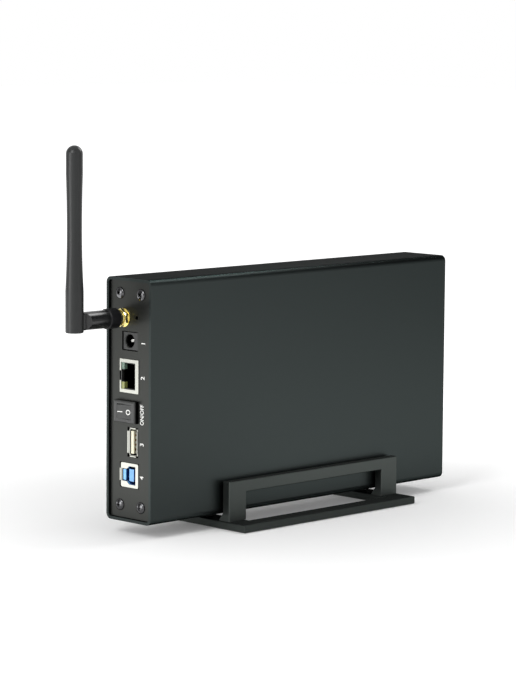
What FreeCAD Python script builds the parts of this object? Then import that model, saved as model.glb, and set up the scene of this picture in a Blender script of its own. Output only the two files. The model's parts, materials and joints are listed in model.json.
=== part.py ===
import FreeCAD, Part
import math
import os

# Wireless hard-disk media server standing on edge in a low plastic stand.
# Axes: X runs along the case, with the ports and the aerial at its -X end.
# Y is the thickness of the case, and Z is up. The stand's feet touch Z = 0.
# The origin is under the middle of the whole outline, aerial included.

V = FreeCAD.Vector

# Driving sizes of the case
case_length = 214.0
case_thickness = 32.0
case_height = 120.0
case_wall = 1.5
case_corner = 3.0
panel_thickness = 1.5
panel_recess = 1.4
panel_clearance = 0.2
ear_width = 9.0
ear_length = 9.0
ear_height = 30.0
ear_screw_offset = 0.5

# Fasteners
screw_radius = 1.45
screw_head_radius = 2.9
screw_head_height = 1.5
screw_dome_height = 0.8
screw_dome_steps = (1.0, 0.5)
screw_length = 9.0
screw_from_edge = 7.8
screw_from_middle = 7.5
thread_clearance = 0.05
fit_clearance = 0.02
hole_clearance = 0.15
channel_radius = 2.6
channel_web = 3.2
channel_opening = 0.9
flush_head_radius = 2.6
flush_head_height = 1.1
flush_screw_length = 4.4
board_screw_bite = 3.0

# Stand
base_length = 125.0
base_width = 68.0
base_thickness = 3.8
base_rail = 9.5
base_cross = 12.0
base_edge = 0.6
stand_forward = 2.3
foot_radius = 4.0
foot_height = 1.2
foot_proud = 0.4
foot_inset = 6.5
rest_radius = 3.5
rest_height = 3.0
upright_inset = 0.85
upright_thickness = 4.4
upright_outer = 22.0
upright_above_case_bottom = 17.0
upright_leg = 12.0
upright_bar = 6.0
upright_edge = 0.5
gusset_width = 3.0
gusset_height = 4.0
grip_height = 4.0
grip_end_margin = 16.0
grip_gap = 0.2
stand_screw_radius = 1.4
stand_screw_length = 9.0

# Main board and what stands on it
board_length = 52.0
board_height = 92.0
board_thickness = 1.6
board_top = -6.0
board_gap = 0.5
board_hole_inset = 4.5
standoff_radius = 2.6
standoff_floor = 1.0
standoff_behind_ports = 24.0

# Packages on the main board: X from its rear edge, height from the middle of the case,
# size along X, size in height, and how far each stands off the board
chips = {
    "processor": (29.0, -18.0, 15.0, 15.0, 1.4),
    "memory": (45.0, -18.0, 8.0, 12.0, 1.2),
    "drive_bridge": (32.0, -34.0, 9.0, 9.0, 1.2),
    "network_transformer": (24.0, 9.0, 7.0, 15.0, 5.0),
    "clock": (43.0, 2.0, 7.0, 7.0, 1.1),
    "regulator": (44.0, -33.0, 6.0, 5.0, 1.5),
}

# Capacitor cans: X from the board's rear edge, height, radius and how far each stands off the board
cans = {
    "inlet_can": (20.5, 29.5, 3.2, 8.0),
    "transformer_can": (35.5, 8.0, 2.6, 6.0),
    "module_can": (36.0, 38.5, 2.6, 6.0),
}

# Wireless card, its shield and the push-on plug of the aerial's lead
card_from_rear = 29.0
card_length = 20.0
card_height = 20.0
card_z = 24.0
card_thickness = 1.0
shield_inset = 1.5
shield_top_gap = 6.0
shield_height = 2.6
lead_plug_radius = 1.5
lead_plug_height = 1.6
lead_plug_inset = 4.0
lead_plug_from_top = 3.0
lead_first_run = 10.0
lead_drop = 1.5
lead_swing = (2.0, 4.0)

# Aerial: sizes along its arm are measured outwards from the panel's outside face
aerial_y = 4.8
aerial_z = 40.4
aerial_reach = 30.6
arm_radius = 4.5
blade_radius = 4.41
blade_below_arm = 5.2
blade_length = 89.8
blade_foot_edge = 0.35
blade_straight = 20.0
blade_waist_radius = 3.62
blade_waist_at = 49.0
blade_top_radius = 4.07
blade_top_from = 76.0
running_clearance = 0.08

# Elbow: the arm's tongue turns in a slot of the blade, on a pin across both
tongue_half = 2.0
tongue_end_radius = 3.3
slot_clearance = 0.17
elbow_gap = 0.2
wedge_length = 1.9
elbow_pin_radius = 1.0
elbow_pin_half = 3.6
fork_relief_half = 3.0
fork_relief_radius = 5.3
barrel_radius = 3.15
barrel_length = 11.0
barrel_bore = 2.3
barrel_bore_floor = 1.0
socket_flange = 2.0
socket_tail = 8.0
socket_tail_radius = 2.4
nut_across_flats = 8.0
nut_thickness = 2.2
nut_chamfer = 0.6
nut_crown = 0.1
washer_radius = 4.6
washer_thickness = 0.6
collar_radius = 5.0
collar_from = 5.7
collar_length = 6.6
collar_lip = 1.0
collar_low_edge = 0.3
collar_high_edge = 0.4
ferrule_radius = 4.2
ferrule_proud = 1.5
arm_neck_radius = 2.2
arm_neck_length = 4.0
turning_gap = 0.1
lead_radius = 0.65
bend_share = 0.45

# Ports, each with its middle in Y and Z measured from the middle of the case
port_proud = 0.3
cutout_clearance = 0.25
shell_wall = 0.4
moulding_clearance = 0.05
lip_depth = 0.6
shell_corner = 0.5

network_y = 0.8
network_z = 11.85
network_width = 13.4
network_height = 16.5
network_depth = 18.0
network_open_height = 13.2
network_mouth_low = -3.6
network_mouth_high = 4.6
network_mouth_height = 12.4
latch_slot_high = 6.5
latch_slot_height = 5.8
latch_notch_height = 4.8
latch_notch_depth = 3.0
network_cavity = 12.5
network_contacts = 8
contact_pitch = 1.02
contact_size = 0.4
contact_wire = 0.55
contact_from = 3.0
contact_length = 7.0
contact_rise = 2.8
light_gap = 0.25
light_face_depth = 2.0
light_depth = 7.0
light_tail_inset = 0.6

inlet_y = 0.5
inlet_z = 29.05
inlet_width = 10.2
inlet_height = 8.5
inlet_depth = 14.0
inlet_recess = 0.5
inlet_foot_gap = 0.1
inlet_cutout_clearance = 0.5
inlet_bore = 3.2
inlet_bore_depth = 9.5
inlet_above_middle = 0.8
inlet_pin_radius = 1.05
inlet_pin_length = 7.75
inlet_chamfer = 0.4
inlet_pin_chamfer = 0.4

rocker_y = 2.1
rocker_z = -5.55
bezel_width = 15.2
bezel_height = 10.9
bezel_proud = 2.5
bezel_edge = 0.8
rocker_body_width = 13.4
rocker_body_height = 8.9
rocker_body_depth = 12.0
rocker_radius = 6.3
rocker_height = 6.9
rocker_pivot_depth = 1.5
rocker_face = 4.2
rocker_valley = 6.0
rocker_back = 2.5
rocker_tilt = 10.0
rocker_gap = 0.2
rocker_pin_radius = 0.9
rocker_pin_reach = 0.45
terminal_length = 6.0
terminal_width = 3.2
terminal_thickness = 0.8
terminal_spacing = 6.0
switch_lead_run = 3.0
switch_lead_step = 2.4

host_y = -2.0
host_z = -20.5
host_width = 5.9
host_height = 13.2
host_depth = 14.0
# How far the lips flare towards -Y, towards +Y, and up or down
host_lip_reach = (0.3, 0.95, 0.55)
host_lip_corner = (0.85, 1.15)
tongue_low = -2.05
tongue_thickness = 1.85
tongue_height = 11.1
tongue_set_back = 0.6
tongue_root = 4.0
host_contacts = 4
host_contact_pitch = 2.3
strip_thickness = 0.2
strip_width = 1.0
strip_set_back = 0.8

device_y = 0.325
device_z = -37.0
device_width = 12.35
device_height = 12.0
device_depth = 16.0
device_corner = 0.8
device_cavity = 9.0
device_tab_reach = 0.9
device_tab_height = 6.0
wide_part = (-3.9, 0.5)
wide_height = 9.1
narrow_part = (2.4, 6.1)
narrow_height = 6.2
wide_tongue = (-1.85, 1.4)
wide_tongue_height = 6.0
wide_tongue_set_back = 0.45
narrow_tongue = (3.5, 5.3)
narrow_tongue_height = 5.2
narrow_tongue_set_back = 0.1

reset_y = -4.4
reset_z = 40.8
reset_hole_radius = 0.9
reset_plunger_radius = 0.8
reset_travel = 0.4
reset_body = 3.2
reset_body_height = 6.0
reset_body_depth = 3.6
reset_from_board_edge = 1.0
reset_bore = 2.4
reset_gap = 0.3
reset_end_gap = 0.1

# Storage drive and its tray
drive_length = 147.0
drive_width = 101.6
drive_thickness = 26.1
drive_gap = 2.5
drive_corner = 3.0
drive_holes_from_rear = (41.3, 85.7)
drive_hole_from_side = 3.2
drive_cover_thickness = 0.8
drive_cover_step = 0.3
drive_cover_rim = 4.0
drive_cover_corner = 6.0
drive_floor = 5.0
drive_wall = 2.2
drive_board_thickness = 1.0
drive_board_pocket = 1.8
drive_board_margin = 12.0
drive_board_clearance = 0.2
drive_board_before_spindle = 20.0
head_pocket_wall = 6.6
platter_radius = 47.5
platter_gap = 1.1
platter_thickness = 1.27
platter_count = 3
platter_pitch = 4.6
platter_first = 3.0
hub_radius = 12.7
hub_clearance = 0.3
hub_above_platter = 2.5
head_pivot_x = 38.0
head_pivot_z = 25.0
head_pivot_radius = 7.5
head_arm_length = 52.0
head_arm_root = 6.0
head_arm_tip = 2.0
head_arm_thickness = 1.0
head_parked_angle = -8.3
head_tail_length = 20.0
head_tail_width = 24.0
head_coil_thickness = 3.0
head_gap = 0.4
tray_thickness = 1.2
tray_slot_clearance = 0.1
tray_lift = 0.3
tray_tab_gap = 1.0
tray_tab_margin = 1.0
tray_windows_from_drive = ((18.0, 34.0), (94.0, 130.0))
tray_window_height = 60.0
tray_window_corner = 4.0
guide_rib_height = 2.0
guide_rib_thickness = 1.0
drive_plug_width = 4.6
drive_plug_height = 42.0
drive_plug_depth = 6.0
plug_clearance = 0.1
drive_plug_wall = 0.9
drive_plug_end_wall = 1.2
drive_plug_floor = 1.5
plug_blade_thickness = 1.2
plug_blade_set_back = 0.8
plug_blade_from_end = 2.4
plug_blade_split = 0.36
plug_blade_gap = 1.6
socket_depth = 8.0
socket_gap = 0.2

# Status light at the front
light_height = 30.0
window_radius = 1.6
window_flange = 2.6
window_flange_thickness = 0.8
window_proud = 0.5
window_edge = 0.3
status_board_width = 12.0
status_board_height = 14.0
status_board_thickness = 1.0
status_light_radius = 1.2
status_light_gap = 0.3
wire_radius = 0.5

# Places worked out from the sizes above
rear_rim = (aerial_reach + blade_radius - case_length) / 2
front_rim = rear_rim + case_length
panel_outer = rear_rim + panel_recess
panel_inner = panel_outer + panel_thickness
front_outer = front_rim - panel_recess
front_inner = front_outer - panel_thickness
base_top = foot_proud + base_thickness
case_bottom = base_top + rest_height
middle_z = case_bottom + case_height / 2
inner_y = case_thickness / 2 - case_wall
inner_z = case_height / 2 - case_wall
stand_x = rear_rim + case_length / 2 + stand_forward
upright_top = case_bottom + upright_above_case_bottom
upright_inner = upright_outer - upright_thickness
tray_low = -inner_y + tray_lift
tray_high = tray_low + tray_thickness
board_low = board_top - board_thickness
board_rear = panel_inner + board_gap
board_front = board_rear + board_length
drive_rear = board_front + drive_gap
drive_front = drive_rear + drive_length
drive_low = tray_high
drive_high = drive_low + drive_thickness
spindle_x = drive_front - drive_wall - platter_radius - platter_gap
tray_front = drive_front + tray_tab_gap + tray_thickness
tray_half = inner_z - (case_corner - case_wall) / 2 - tray_slot_clearance
blade_x = rear_rim - aerial_reach
arm_z = middle_z + aerial_z
elbow = V(blade_x, aerial_y, arm_z)
port_front = panel_outer - port_proud
inlet_front = panel_outer + inlet_recess
card_x = (board_rear + card_from_rear, board_rear + card_from_rear + card_length)
card_face = board_top + card_thickness
socket_back = panel_inner + socket_tail
reset_rear = board_rear + reset_from_board_edge


def span(middle, size, margin=0.0):
    """Low and high value of something centred on middle, grown by margin at both ends."""
    return middle - size / 2 - margin, middle + size / 2 + margin


def block(x, y, z):
    """A box between the low and high values given for each axis."""
    return Part.makeBox(x[1] - x[0], y[1] - y[0], z[1] - z[0], V(x[0], y[0], z[0]))


def port_box(x, y, width, z, height, margin=0.0):
    """A box over X, centred on Y and on a height from the middle of the case."""
    return block(x, span(y, width, margin), span(middle_z + z, height, margin))


def rod(start, end, radius):
    """A round rod from one point to another."""
    run = end - start
    return Part.makeCylinder(radius, run.Length, start, run)


def edges_along(shape, direction):
    """The straight edges of a shape that run along one direction."""
    found = []
    for edge in shape.Edges:
        if edge.Curve.TypeId != "Part::GeomLine":
            continue
        run = edge.Vertexes[-1].Point - edge.Vertexes[0].Point
        if run.cross(direction).Length < 1e-6:
            found.append(edge)
    return found


def bar(x, y, z, radius):
    """A box along X whose four long edges are rounded."""
    shape = block(x, y, z)
    return shape.makeFillet(radius, edges_along(shape, V(1, 0, 0)))


def outline(x, y, z, rounding):
    """A closed wire at one X: a rectangle in Y and Z with rounded corners."""
    face = bar((x, x + 1), y, z, rounding).Faces
    flat = [f for f in face if abs(f.CenterOfMass.x - x) < 1e-6]
    return flat[0].OuterWire


def prism(points, travel):
    """A flat outline of straight sides, pushed along a vector."""
    closed = points + points[:1]
    return Part.Face(Part.makePolygon(closed)).extrude(travel)


def lathe(profile, origin, axis):
    """A round solid. The profile lists its corners as (along, radius)."""
    edges = []
    for first, last in zip(profile, profile[1:] + profile[:1]):
        edges.append(Part.LineSegment(V(first[0], first[1], 0), V(last[0], last[1], 0)).toShape())
    return turn(edges, origin, axis)


def turn(edges, origin, axis):
    """Spin a closed outline drawn in (along, radius) about its axis, then place it."""
    solid = Part.Face(Part.Wire(edges)).revolve(V(0, 0, 0), V(1, 0, 0), 360)
    solid.Placement = FreeCAD.Placement(origin, FreeCAD.Rotation(V(1, 0, 0), axis))
    return solid


def hexagon(x0, x1, y, z, across_flats):
    """A hexagonal prism along X with two flats facing up and down."""
    corner = across_flats / math.sqrt(3)
    points = [
        V(x0, y + corner * math.cos(math.radians(60 * k)), z + corner * math.sin(math.radians(60 * k)))
        for k in range(6)
    ]
    return prism(points, V(x1 - x0, 0, 0))


def tube(points, radius):
    """A round wire along straight runs joined by tangent arcs as large as the runs allow."""
    edges = []
    bends = []
    start = points[0]
    for before, corner, after in zip(points, points[1:], points[2:]):
        back = (before - corner).normalize()
        on = (after - corner).normalize()
        shorter = min((before - corner).Length, (after - corner).Length)
        trim = bend_share * shorter
        turned = math.pi - back.getAngle(on)
        bend = trim / math.tan(turned / 2)
        bends.append(bend)
        arc_start = corner + back * trim
        arc_end = corner + on * trim
        inwards = (back + on).normalize()
        arc_middle = corner + inwards * (bend / math.cos(turned / 2) - bend)
        edges.append(Part.LineSegment(start, arc_start).toShape())
        edges.append(Part.Arc(arc_start, arc_middle, arc_end).toShape())
        start = arc_end
    edges.append(Part.LineSegment(start, points[-1]).toShape())
    path = Part.Wire(edges)
    section = Part.Wire(Part.makeCircle(radius, points[0], points[1] - points[0]))
    wire = path.makePipeShell([section], True, False)
    share = wire.Volume / (math.pi * radius ** 2 * path.Length)
    print("wire %.1f mm long, bends %s mm, %.3f of its section times its length" % (
        path.Length, ", ".join("%.1f" % bend for bend in bends), share))
    return wire


def from_case(x, y, z):
    """A point given by its X, and by Y and Z from the middle of the case."""
    return V(x, y, middle_z + z)


def pan_screw(seat, axis, shank_radius, length):
    """A domed screw: its head sits on seat and rises along axis, its shank goes the other way."""
    ball = (screw_head_radius ** 2 + screw_dome_height ** 2) / (2 * screw_dome_height)
    dome = []
    for share in screw_dome_steps:
        radius = share * screw_head_radius
        dome.append((screw_head_height - ball + math.sqrt(ball ** 2 - radius ** 2), radius))
    shank = [(-length, 0), (-length, shank_radius), (0, shank_radius), (0, screw_head_radius)]
    return lathe(shank + dome + [(dome[-1][0], 0)], seat, axis)


def flush_screw(face, axis, shank_radius, length):
    """A countersunk screw with its flat head level with face, pointing away from axis."""
    profile = [
        (0, 0),
        (0, flush_head_radius),
        (-flush_head_height, shank_radius),
        (-length, shank_radius),
        (-length, 0),
    ]
    return lathe(profile, face, axis)


def flush_hole(face, axis, shank_radius, depth):
    """The space for a countersunk screw, a little larger than the screw all over."""
    profile = [
        (0.01, 0),
        (0.01, flush_head_radius + thread_clearance),
        (0, flush_head_radius + thread_clearance),
        (-flush_head_height, shank_radius + thread_clearance),
        (-depth, shank_radius + thread_clearance),
        (-depth, 0),
    ]
    return lathe(profile, face, axis)


def corner_places():
    """Y and Z of the four screws that hold a panel, from the middle of the case."""
    rise = case_height / 2 - screw_from_edge
    return [(sy * screw_from_middle, sz * rise) for sy in (-1, 1) for sz in (-1, 1)]


# Stand

def stand_span():
    """Low and high X of the base."""
    return stand_x - base_length / 2, stand_x + base_length / 2


def leg_places():
    """X and Y of the middle of each of the four legs."""
    reach = base_length / 2 - upright_inset - upright_leg / 2
    side = upright_outer - upright_thickness / 2
    return [(stand_x + sx * reach, sy * side) for sx in (-1, 1) for sy in (-1, 1)]


def foot_places():
    """X and Y of the middle of each of the four rubber feet."""
    along = base_length / 2 - foot_inset
    across = base_width / 2 - foot_inset
    return [(stand_x + sx * along, sy * across) for sx in (-1, 1) for sy in (-1, 1)]


def stand_base():
    """A flat ring: two rails along the case and two cross members under the legs."""
    low_x, high_x = stand_span()
    half = base_width / 2
    ring = block((low_x, high_x), (-half, half), (foot_proud, base_top))
    opening = block(
        (low_x + base_cross, high_x - base_cross),
        (-half + base_rail, half - base_rail),
        (0, base_top + 1),
    )
    ring = ring.cut(opening)
    top_edges = [e for e in ring.Edges if all(abs(p.Point.z - base_top) < 1e-6 for p in e.Vertexes)]
    ring = ring.makeFillet(base_edge, top_edges)
    for x, y in leg_places():
        ring = ring.cut(flush_hole(V(x, y, foot_proud), V(0, 0, -1), stand_screw_radius, base_thickness + 1))
    for x, y in foot_places():
        ring = ring.cut(rod(V(x, y, 0), V(x, y, foot_height), foot_radius + thread_clearance))
    return ring


def stand_upright(side):
    """A goalpost on one side of the case, with a long window and gusseted legs."""
    low_x = stand_x - base_length / 2 + upright_inset
    high_x = stand_x + base_length / 2 - upright_inset
    post = block((low_x, high_x), (upright_inner, upright_outer), (base_top, upright_top))
    window = block(
        (low_x + upright_leg, high_x - upright_leg),
        (upright_inner - 1, upright_outer + 1),
        (base_top - 1, upright_top - upright_bar),
    )
    post = post.cut(window)
    rounded = []
    for edge in post.Edges:
        ends = [p.Point for p in edge.Vertexes]
        outside = all(abs(p.y - upright_outer) < 1e-6 for p in ends)
        on_top = all(abs(p.z - upright_top) < 1e-6 for p in ends)
        at_foot = all(abs(p.z - base_top) < 1e-6 for p in ends)
        if (outside or on_top) and not at_foot:
            rounded.append(edge)
    post = post.makeFillet(upright_edge, rounded)
    for leg_low in (low_x, high_x - upright_leg):
        wedge = prism(
            [
                V(leg_low, upright_inner, base_top),
                V(leg_low, upright_inner - gusset_width, base_top),
                V(leg_low, upright_inner, base_top + gusset_height),
            ],
            V(upright_leg, 0, 0),
        )
        post = post.fuse(wedge)
    for x, y in leg_places():
        if y < 0:
            continue
        tip = foot_proud + stand_screw_length + thread_clearance
        post = post.cut(rod(V(x, y, base_top), V(x, y, tip), stand_screw_radius + thread_clearance))
    post = post.removeSplitter()
    return post if side > 0 else post.mirror(V(0, 0, 0), V(0, 1, 0))


def stand_screws():
    """Four countersunk screws that hold the uprights from under the base."""
    return [flush_screw(V(x, y, foot_proud), V(0, 0, -1), stand_screw_radius, stand_screw_length)
            for x, y in leg_places()]


def stand_feet():
    """Four round rubber feet let into the underside of the base."""
    return [rod(V(x, y, 0), V(x, y, foot_height), foot_radius) for x, y in foot_places()]


def case_rests():
    """Two rubber buttons, one on each cross member, which carry the case."""
    reach = (base_length - base_cross) / 2
    return [rod(V(x, 0, base_top), V(x, 0, case_bottom), rest_radius)
            for x in (stand_x - reach, stand_x + reach)]


def stand_grips():
    """Soft strips inside the top bars, which keep the case upright."""
    low_x = stand_x - base_length / 2 + grip_end_margin
    high_x = stand_x + base_length / 2 - grip_end_margin
    middle = upright_top - upright_bar / 2
    near = case_thickness / 2 + grip_gap
    strips = []
    for side in (-1, 1):
        y = sorted((side * near, side * upright_inner))
        strips.append(block((low_x, high_x), y, (middle - grip_height / 2, middle + grip_height / 2)))
    return strips


# Case

def case_sleeve():
    """The extruded sleeve with a screw channel near each corner and ribs that guide the tray."""
    half_y = case_thickness / 2
    whole = bar((rear_rim, front_rim), (-half_y, half_y),
                (middle_z - case_height / 2, middle_z + case_height / 2), case_corner)
    hollow = bar((rear_rim - 1, front_rim + 1), (-inner_y, inner_y),
                 (middle_z - inner_z, middle_z + inner_z), case_corner - case_wall)
    sleeve = whole.cut(hollow)
    inside = (panel_inner, front_inner)
    bore = screw_radius + thread_clearance
    for y, z in corner_places():
        towards_wall = math.copysign(1, z)
        wall = towards_wall * (inner_z + case_wall / 2)
        channel = rod(from_case(inside[0], y, z), from_case(inside[1], y, z), channel_radius)
        web = block(inside, (y - channel_web / 2, y + channel_web / 2),
                    sorted((middle_z + z, middle_z + wall)))
        gap_from = z - towards_wall * channel_opening
        gap_to = z - towards_wall * (channel_radius + 1)
        gap = block((inside[0] - 1, inside[1] + 1), (y - channel_radius - 1, y + channel_radius + 1),
                    sorted((middle_z + gap_from, middle_z + gap_to)))
        hole = rod(from_case(inside[0] - 1, y, z), from_case(inside[1] + 1, y, z), bore)
        sleeve = sleeve.fuse(channel.fuse(web).cut(gap).cut(hole))
    rib_low = tray_high + tray_slot_clearance
    for side in (-1, 1):
        z = sorted((side * (inner_z + case_wall / 2), side * (inner_z - guide_rib_height)))
        rib = block(inside, (rib_low, rib_low + guide_rib_thickness),
                    (middle_z + z[0], middle_z + z[1]))
        sleeve = sleeve.fuse(rib)
    return sleeve.removeSplitter()


def end_plate(x):
    """A flat panel that drops into the mouth of the sleeve, with its four screw holes."""
    fit_y = inner_y - panel_clearance
    fit_z = inner_z - panel_clearance
    plate = bar(x, (-fit_y, fit_y), (middle_z - fit_z, middle_z + fit_z),
                case_corner - case_wall - panel_clearance)
    for y, z in corner_places():
        hole = rod(from_case(x[0] - 1, y, z), from_case(x[1] + 1, y, z), screw_radius + hole_clearance)
        plate = plate.cut(hole)
    return plate


def front_panel():
    """The plain front panel, with one small hole for the status light."""
    plate = end_plate((front_inner, front_outer))
    hole = rod(from_case(front_inner - 1, 0, light_height), from_case(front_outer + 1, 0, light_height),
               window_radius + thread_clearance)
    return plate.cut(hole)


def front_screws():
    """Four domed screws in the front panel."""
    return [pan_screw(from_case(front_outer, y, z), V(1, 0, 0), screw_radius, screw_length)
            for y, z in corner_places()]


def status_window():
    """A clear button pushed through the front panel from behind."""
    profile = [
        (-window_flange_thickness, 0),
        (-window_flange_thickness, window_flange),
        (0, window_flange),
        (0, window_radius),
        (panel_thickness + window_proud - window_edge, window_radius),
        (panel_thickness + window_proud, window_radius - window_edge),
        (panel_thickness + window_proud, 0),
    ]
    return lathe(profile, from_case(front_inner, 0, light_height), V(1, 0, 0))


# Rear panel and the openings in it

def rear_panel():
    """The port panel with its cut-outs and two bent ears that hold the tray."""
    plate = end_plate((panel_outer, panel_inner))
    through = (panel_outer - 1, panel_inner + 1)
    margin = cutout_clearance
    cuts = [
        port_box(through, network_y, network_width, network_z, network_height, margin),
        port_box(through, inlet_y, inlet_width, inlet_z, inlet_height, inlet_cutout_clearance),
        port_box(through, rocker_y, rocker_body_width, rocker_z, rocker_body_height, hole_clearance),
        port_box(through, host_y + (host_lip_reach[1] - host_lip_reach[0]) / 2,
                 host_width + host_lip_reach[0] + host_lip_reach[1],
                 host_z, host_height + 2 * host_lip_reach[2], margin),
        port_box(through, device_y + device_tab_reach / 2, device_width + device_tab_reach,
                 device_z, device_height, margin),
        rod(from_case(through[0], reset_y, reset_z), from_case(through[1], reset_y, reset_z),
            reset_hole_radius),
        rod(from_case(through[0], aerial_y, aerial_z), from_case(through[1], aerial_y, aerial_z),
            barrel_radius + hole_clearance),
    ]
    for cut in cuts:
        plate = plate.cut(cut)
    ear_y = (tray_high, tray_high + panel_thickness)
    for z in ear_heights():
        ear = port_box((panel_inner - panel_thickness / 2, panel_inner + ear_length), sum(ear_y) / 2,
                       panel_thickness, z, ear_width)
        place = ear_screw_place(z)
        hole = rod(place, place + V(0, 2 * flush_screw_length, 0), screw_radius + thread_clearance)
        plate = plate.fuse(ear.cut(hole))
    return plate.removeSplitter()


def ear_heights():
    """Heights of the two ears from the middle of the case."""
    return (-ear_height, ear_height)


def ear_screw_place(z):
    """Where an ear's screw head lies, level with the outside of the tray."""
    return from_case(panel_inner + ear_length / 2 + ear_screw_offset, tray_low, z)


def rear_screws():
    """Four domed screws in the port panel."""
    return [pan_screw(from_case(panel_outer, y, z), V(-1, 0, 0), screw_radius, screw_length)
            for y, z in corner_places()]


# Tray, drive and boards

def drive_screw_places():
    """Countersunk screws through the tray into the underside of the drive."""
    rise = drive_width / 2 - drive_hole_from_side
    return [from_case(drive_rear + along, tray_low, sz * rise)
            for along in drive_holes_from_rear for sz in (-1, 1)]


def standoff_places():
    """X and height of the four standoffs under the main board."""
    rise = board_height / 2 - board_hole_inset
    along = (board_rear + standoff_behind_ports, board_front - board_hole_inset)
    return [(x, sz * rise) for x in along for sz in (-1, 1)]


def drive_tray():
    """A sheet-metal plate that slides in the sleeve, lightened, with a bent tab at the front."""
    plate = block((panel_inner + tray_slot_clearance, tray_front), (tray_low, tray_high),
                  (middle_z - tray_half, middle_z + tray_half))
    for low, high in tray_windows_from_drive:
        hole = block((drive_rear + low, drive_rear + high), (tray_low - 1, tray_high + 1),
                     span(middle_z, tray_window_height))
        plate = plate.cut(hole.makeFillet(tray_window_corner, edges_along(hole, V(0, 1, 0))))
    tab = block((tray_front - tray_thickness, tray_front), (tray_low, status_board_width / 2),
                span(middle_z + light_height, status_board_height, tray_tab_margin))
    plate = plate.fuse(tab)
    for place in drive_screw_places() + [ear_screw_place(z) for z in ear_heights()]:
        plate = plate.cut(flush_hole(place, V(0, -1, 0), screw_radius, 2 * tray_thickness))
    return plate.removeSplitter()


def tray_screws():
    """Two countersunk screws that fix the tray to the panel's ears."""
    return [flush_screw(ear_screw_place(z), V(0, -1, 0), screw_radius, flush_screw_length)
            for z in ear_heights()]


def drive_screws():
    """Four countersunk screws that fix the drive to the tray."""
    return [flush_screw(place, V(0, -1, 0), screw_radius, flush_screw_length)
            for place in drive_screw_places()]


def drive_housing():
    """The drive's cast housing: a round well for the platters and a pocket for the head arm."""
    half = drive_width / 2
    top = drive_high - drive_cover_thickness
    body = block((drive_rear, drive_front), (drive_low, top), (middle_z - half, middle_z + half))
    body = body.makeFillet(drive_corner, edges_along(body, V(0, 1, 0)))
    floor = drive_low + drive_floor
    well = rod(V(spindle_x, floor, middle_z), V(spindle_x, top + 1, middle_z),
               platter_radius + platter_gap)
    pocket = block((drive_rear + head_pocket_wall, spindle_x), (floor, top + 1),
                   span(middle_z, drive_width, -head_pocket_wall))
    body = body.cut(well.fuse(pocket))
    rear = drive_rear + drive_plug_depth
    board_pocket = block((rear, rear + drive_board_length()), (drive_low - 1, drive_low + drive_board_pocket),
                         span(middle_z, drive_width, -drive_board_margin))
    plug_pocket = block((drive_rear - 1, drive_rear + drive_plug_depth + plug_clearance),
                        drive_plug_y(plug_clearance), drive_plug_z(plug_clearance))
    body = body.cut(board_pocket).cut(plug_pocket)
    for place in drive_screw_places():
        tip = place + V(0, flush_screw_length + thread_clearance, 0)
        body = body.cut(rod(place, tip, screw_radius + thread_clearance))
    return body


def drive_board_length():
    """Length of the controller board under the drive."""
    return spindle_x - drive_rear - drive_board_before_spindle


def drive_plug_y(margin):
    """Y range of the drive's plug, in line with the socket on the main board."""
    return board_low - drive_plug_width - margin, board_low + margin


def drive_plug_z(margin):
    """Z range of the drive's plug."""
    return span(middle_z, drive_plug_height, margin)


def drive_cover():
    """The drive's steel lid, with a shallow step round its edge."""
    half = drive_width / 2
    low = drive_high - drive_cover_thickness
    lid = block((drive_rear, drive_front), (low, drive_high), (middle_z - half, middle_z + half))
    lid = lid.makeFillet(drive_corner, edges_along(lid, V(0, 1, 0)))
    above = block((drive_rear - 1, drive_front + 1), (drive_high - drive_cover_step, drive_high + 1),
                  span(middle_z, drive_width, 1))
    raised = block((drive_rear + drive_cover_rim, drive_front - drive_cover_rim), (low, drive_high + 2),
                   span(middle_z, drive_width, -drive_cover_rim))
    raised = raised.makeFillet(drive_cover_corner, edges_along(raised, V(0, 1, 0)))
    return lid.cut(above.cut(raised))


def drive_board():
    """The controller board, let into the underside of the drive."""
    rear = drive_rear + drive_plug_depth
    back = drive_low + drive_board_pocket
    margin = drive_board_margin + drive_board_clearance
    return block((rear + drive_board_clearance, rear + drive_board_length() - drive_board_clearance),
                 (back - drive_board_thickness, back), span(middle_z, drive_width, -margin))


def drive_plug():
    """The drive's plug: a plastic block with two blades side by side."""
    floor = drive_rear + drive_plug_depth - drive_plug_floor
    body = block((drive_rear, drive_rear + drive_plug_depth), drive_plug_y(0), drive_plug_z(0))
    well = block((drive_rear - 1, floor), drive_plug_y(-drive_plug_wall), drive_plug_z(-drive_plug_end_wall))
    body = body.cut(well)
    blade_y = span(sum(drive_plug_y(0)) / 2, plug_blade_thickness)
    low, high = drive_plug_z(-plug_blade_from_end)
    split = low + plug_blade_split * (high - low)
    for z in ((low, split - plug_blade_gap / 2), (split + plug_blade_gap / 2, high)):
        body = body.fuse(block((drive_rear + plug_blade_set_back, floor), blade_y, z))
    return body.removeSplitter()


def drive_socket():
    """The socket at the inner edge of the main board, which the drive's plug meets."""
    nose = drive_rear - socket_gap
    return block((nose - socket_depth, nose), drive_plug_y(0), drive_plug_z(0))


def platter_height(k):
    """Y of the middle of one platter."""
    return drive_low + drive_floor + platter_first + k * platter_pitch


def drive_platters():
    """Three platters clamped on their hub."""
    hub_low = drive_low + drive_floor + hub_clearance
    hub_high = platter_height(platter_count - 1) + hub_above_platter
    stack = rod(V(spindle_x, hub_low, middle_z), V(spindle_x, hub_high, middle_z), hub_radius)
    for k in range(platter_count):
        y = platter_height(k)
        disc = rod(V(spindle_x, y - platter_thickness / 2, middle_z),
                   V(spindle_x, y + platter_thickness / 2, middle_z), platter_radius)
        stack = stack.fuse(disc)
    return stack.removeSplitter()


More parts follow.
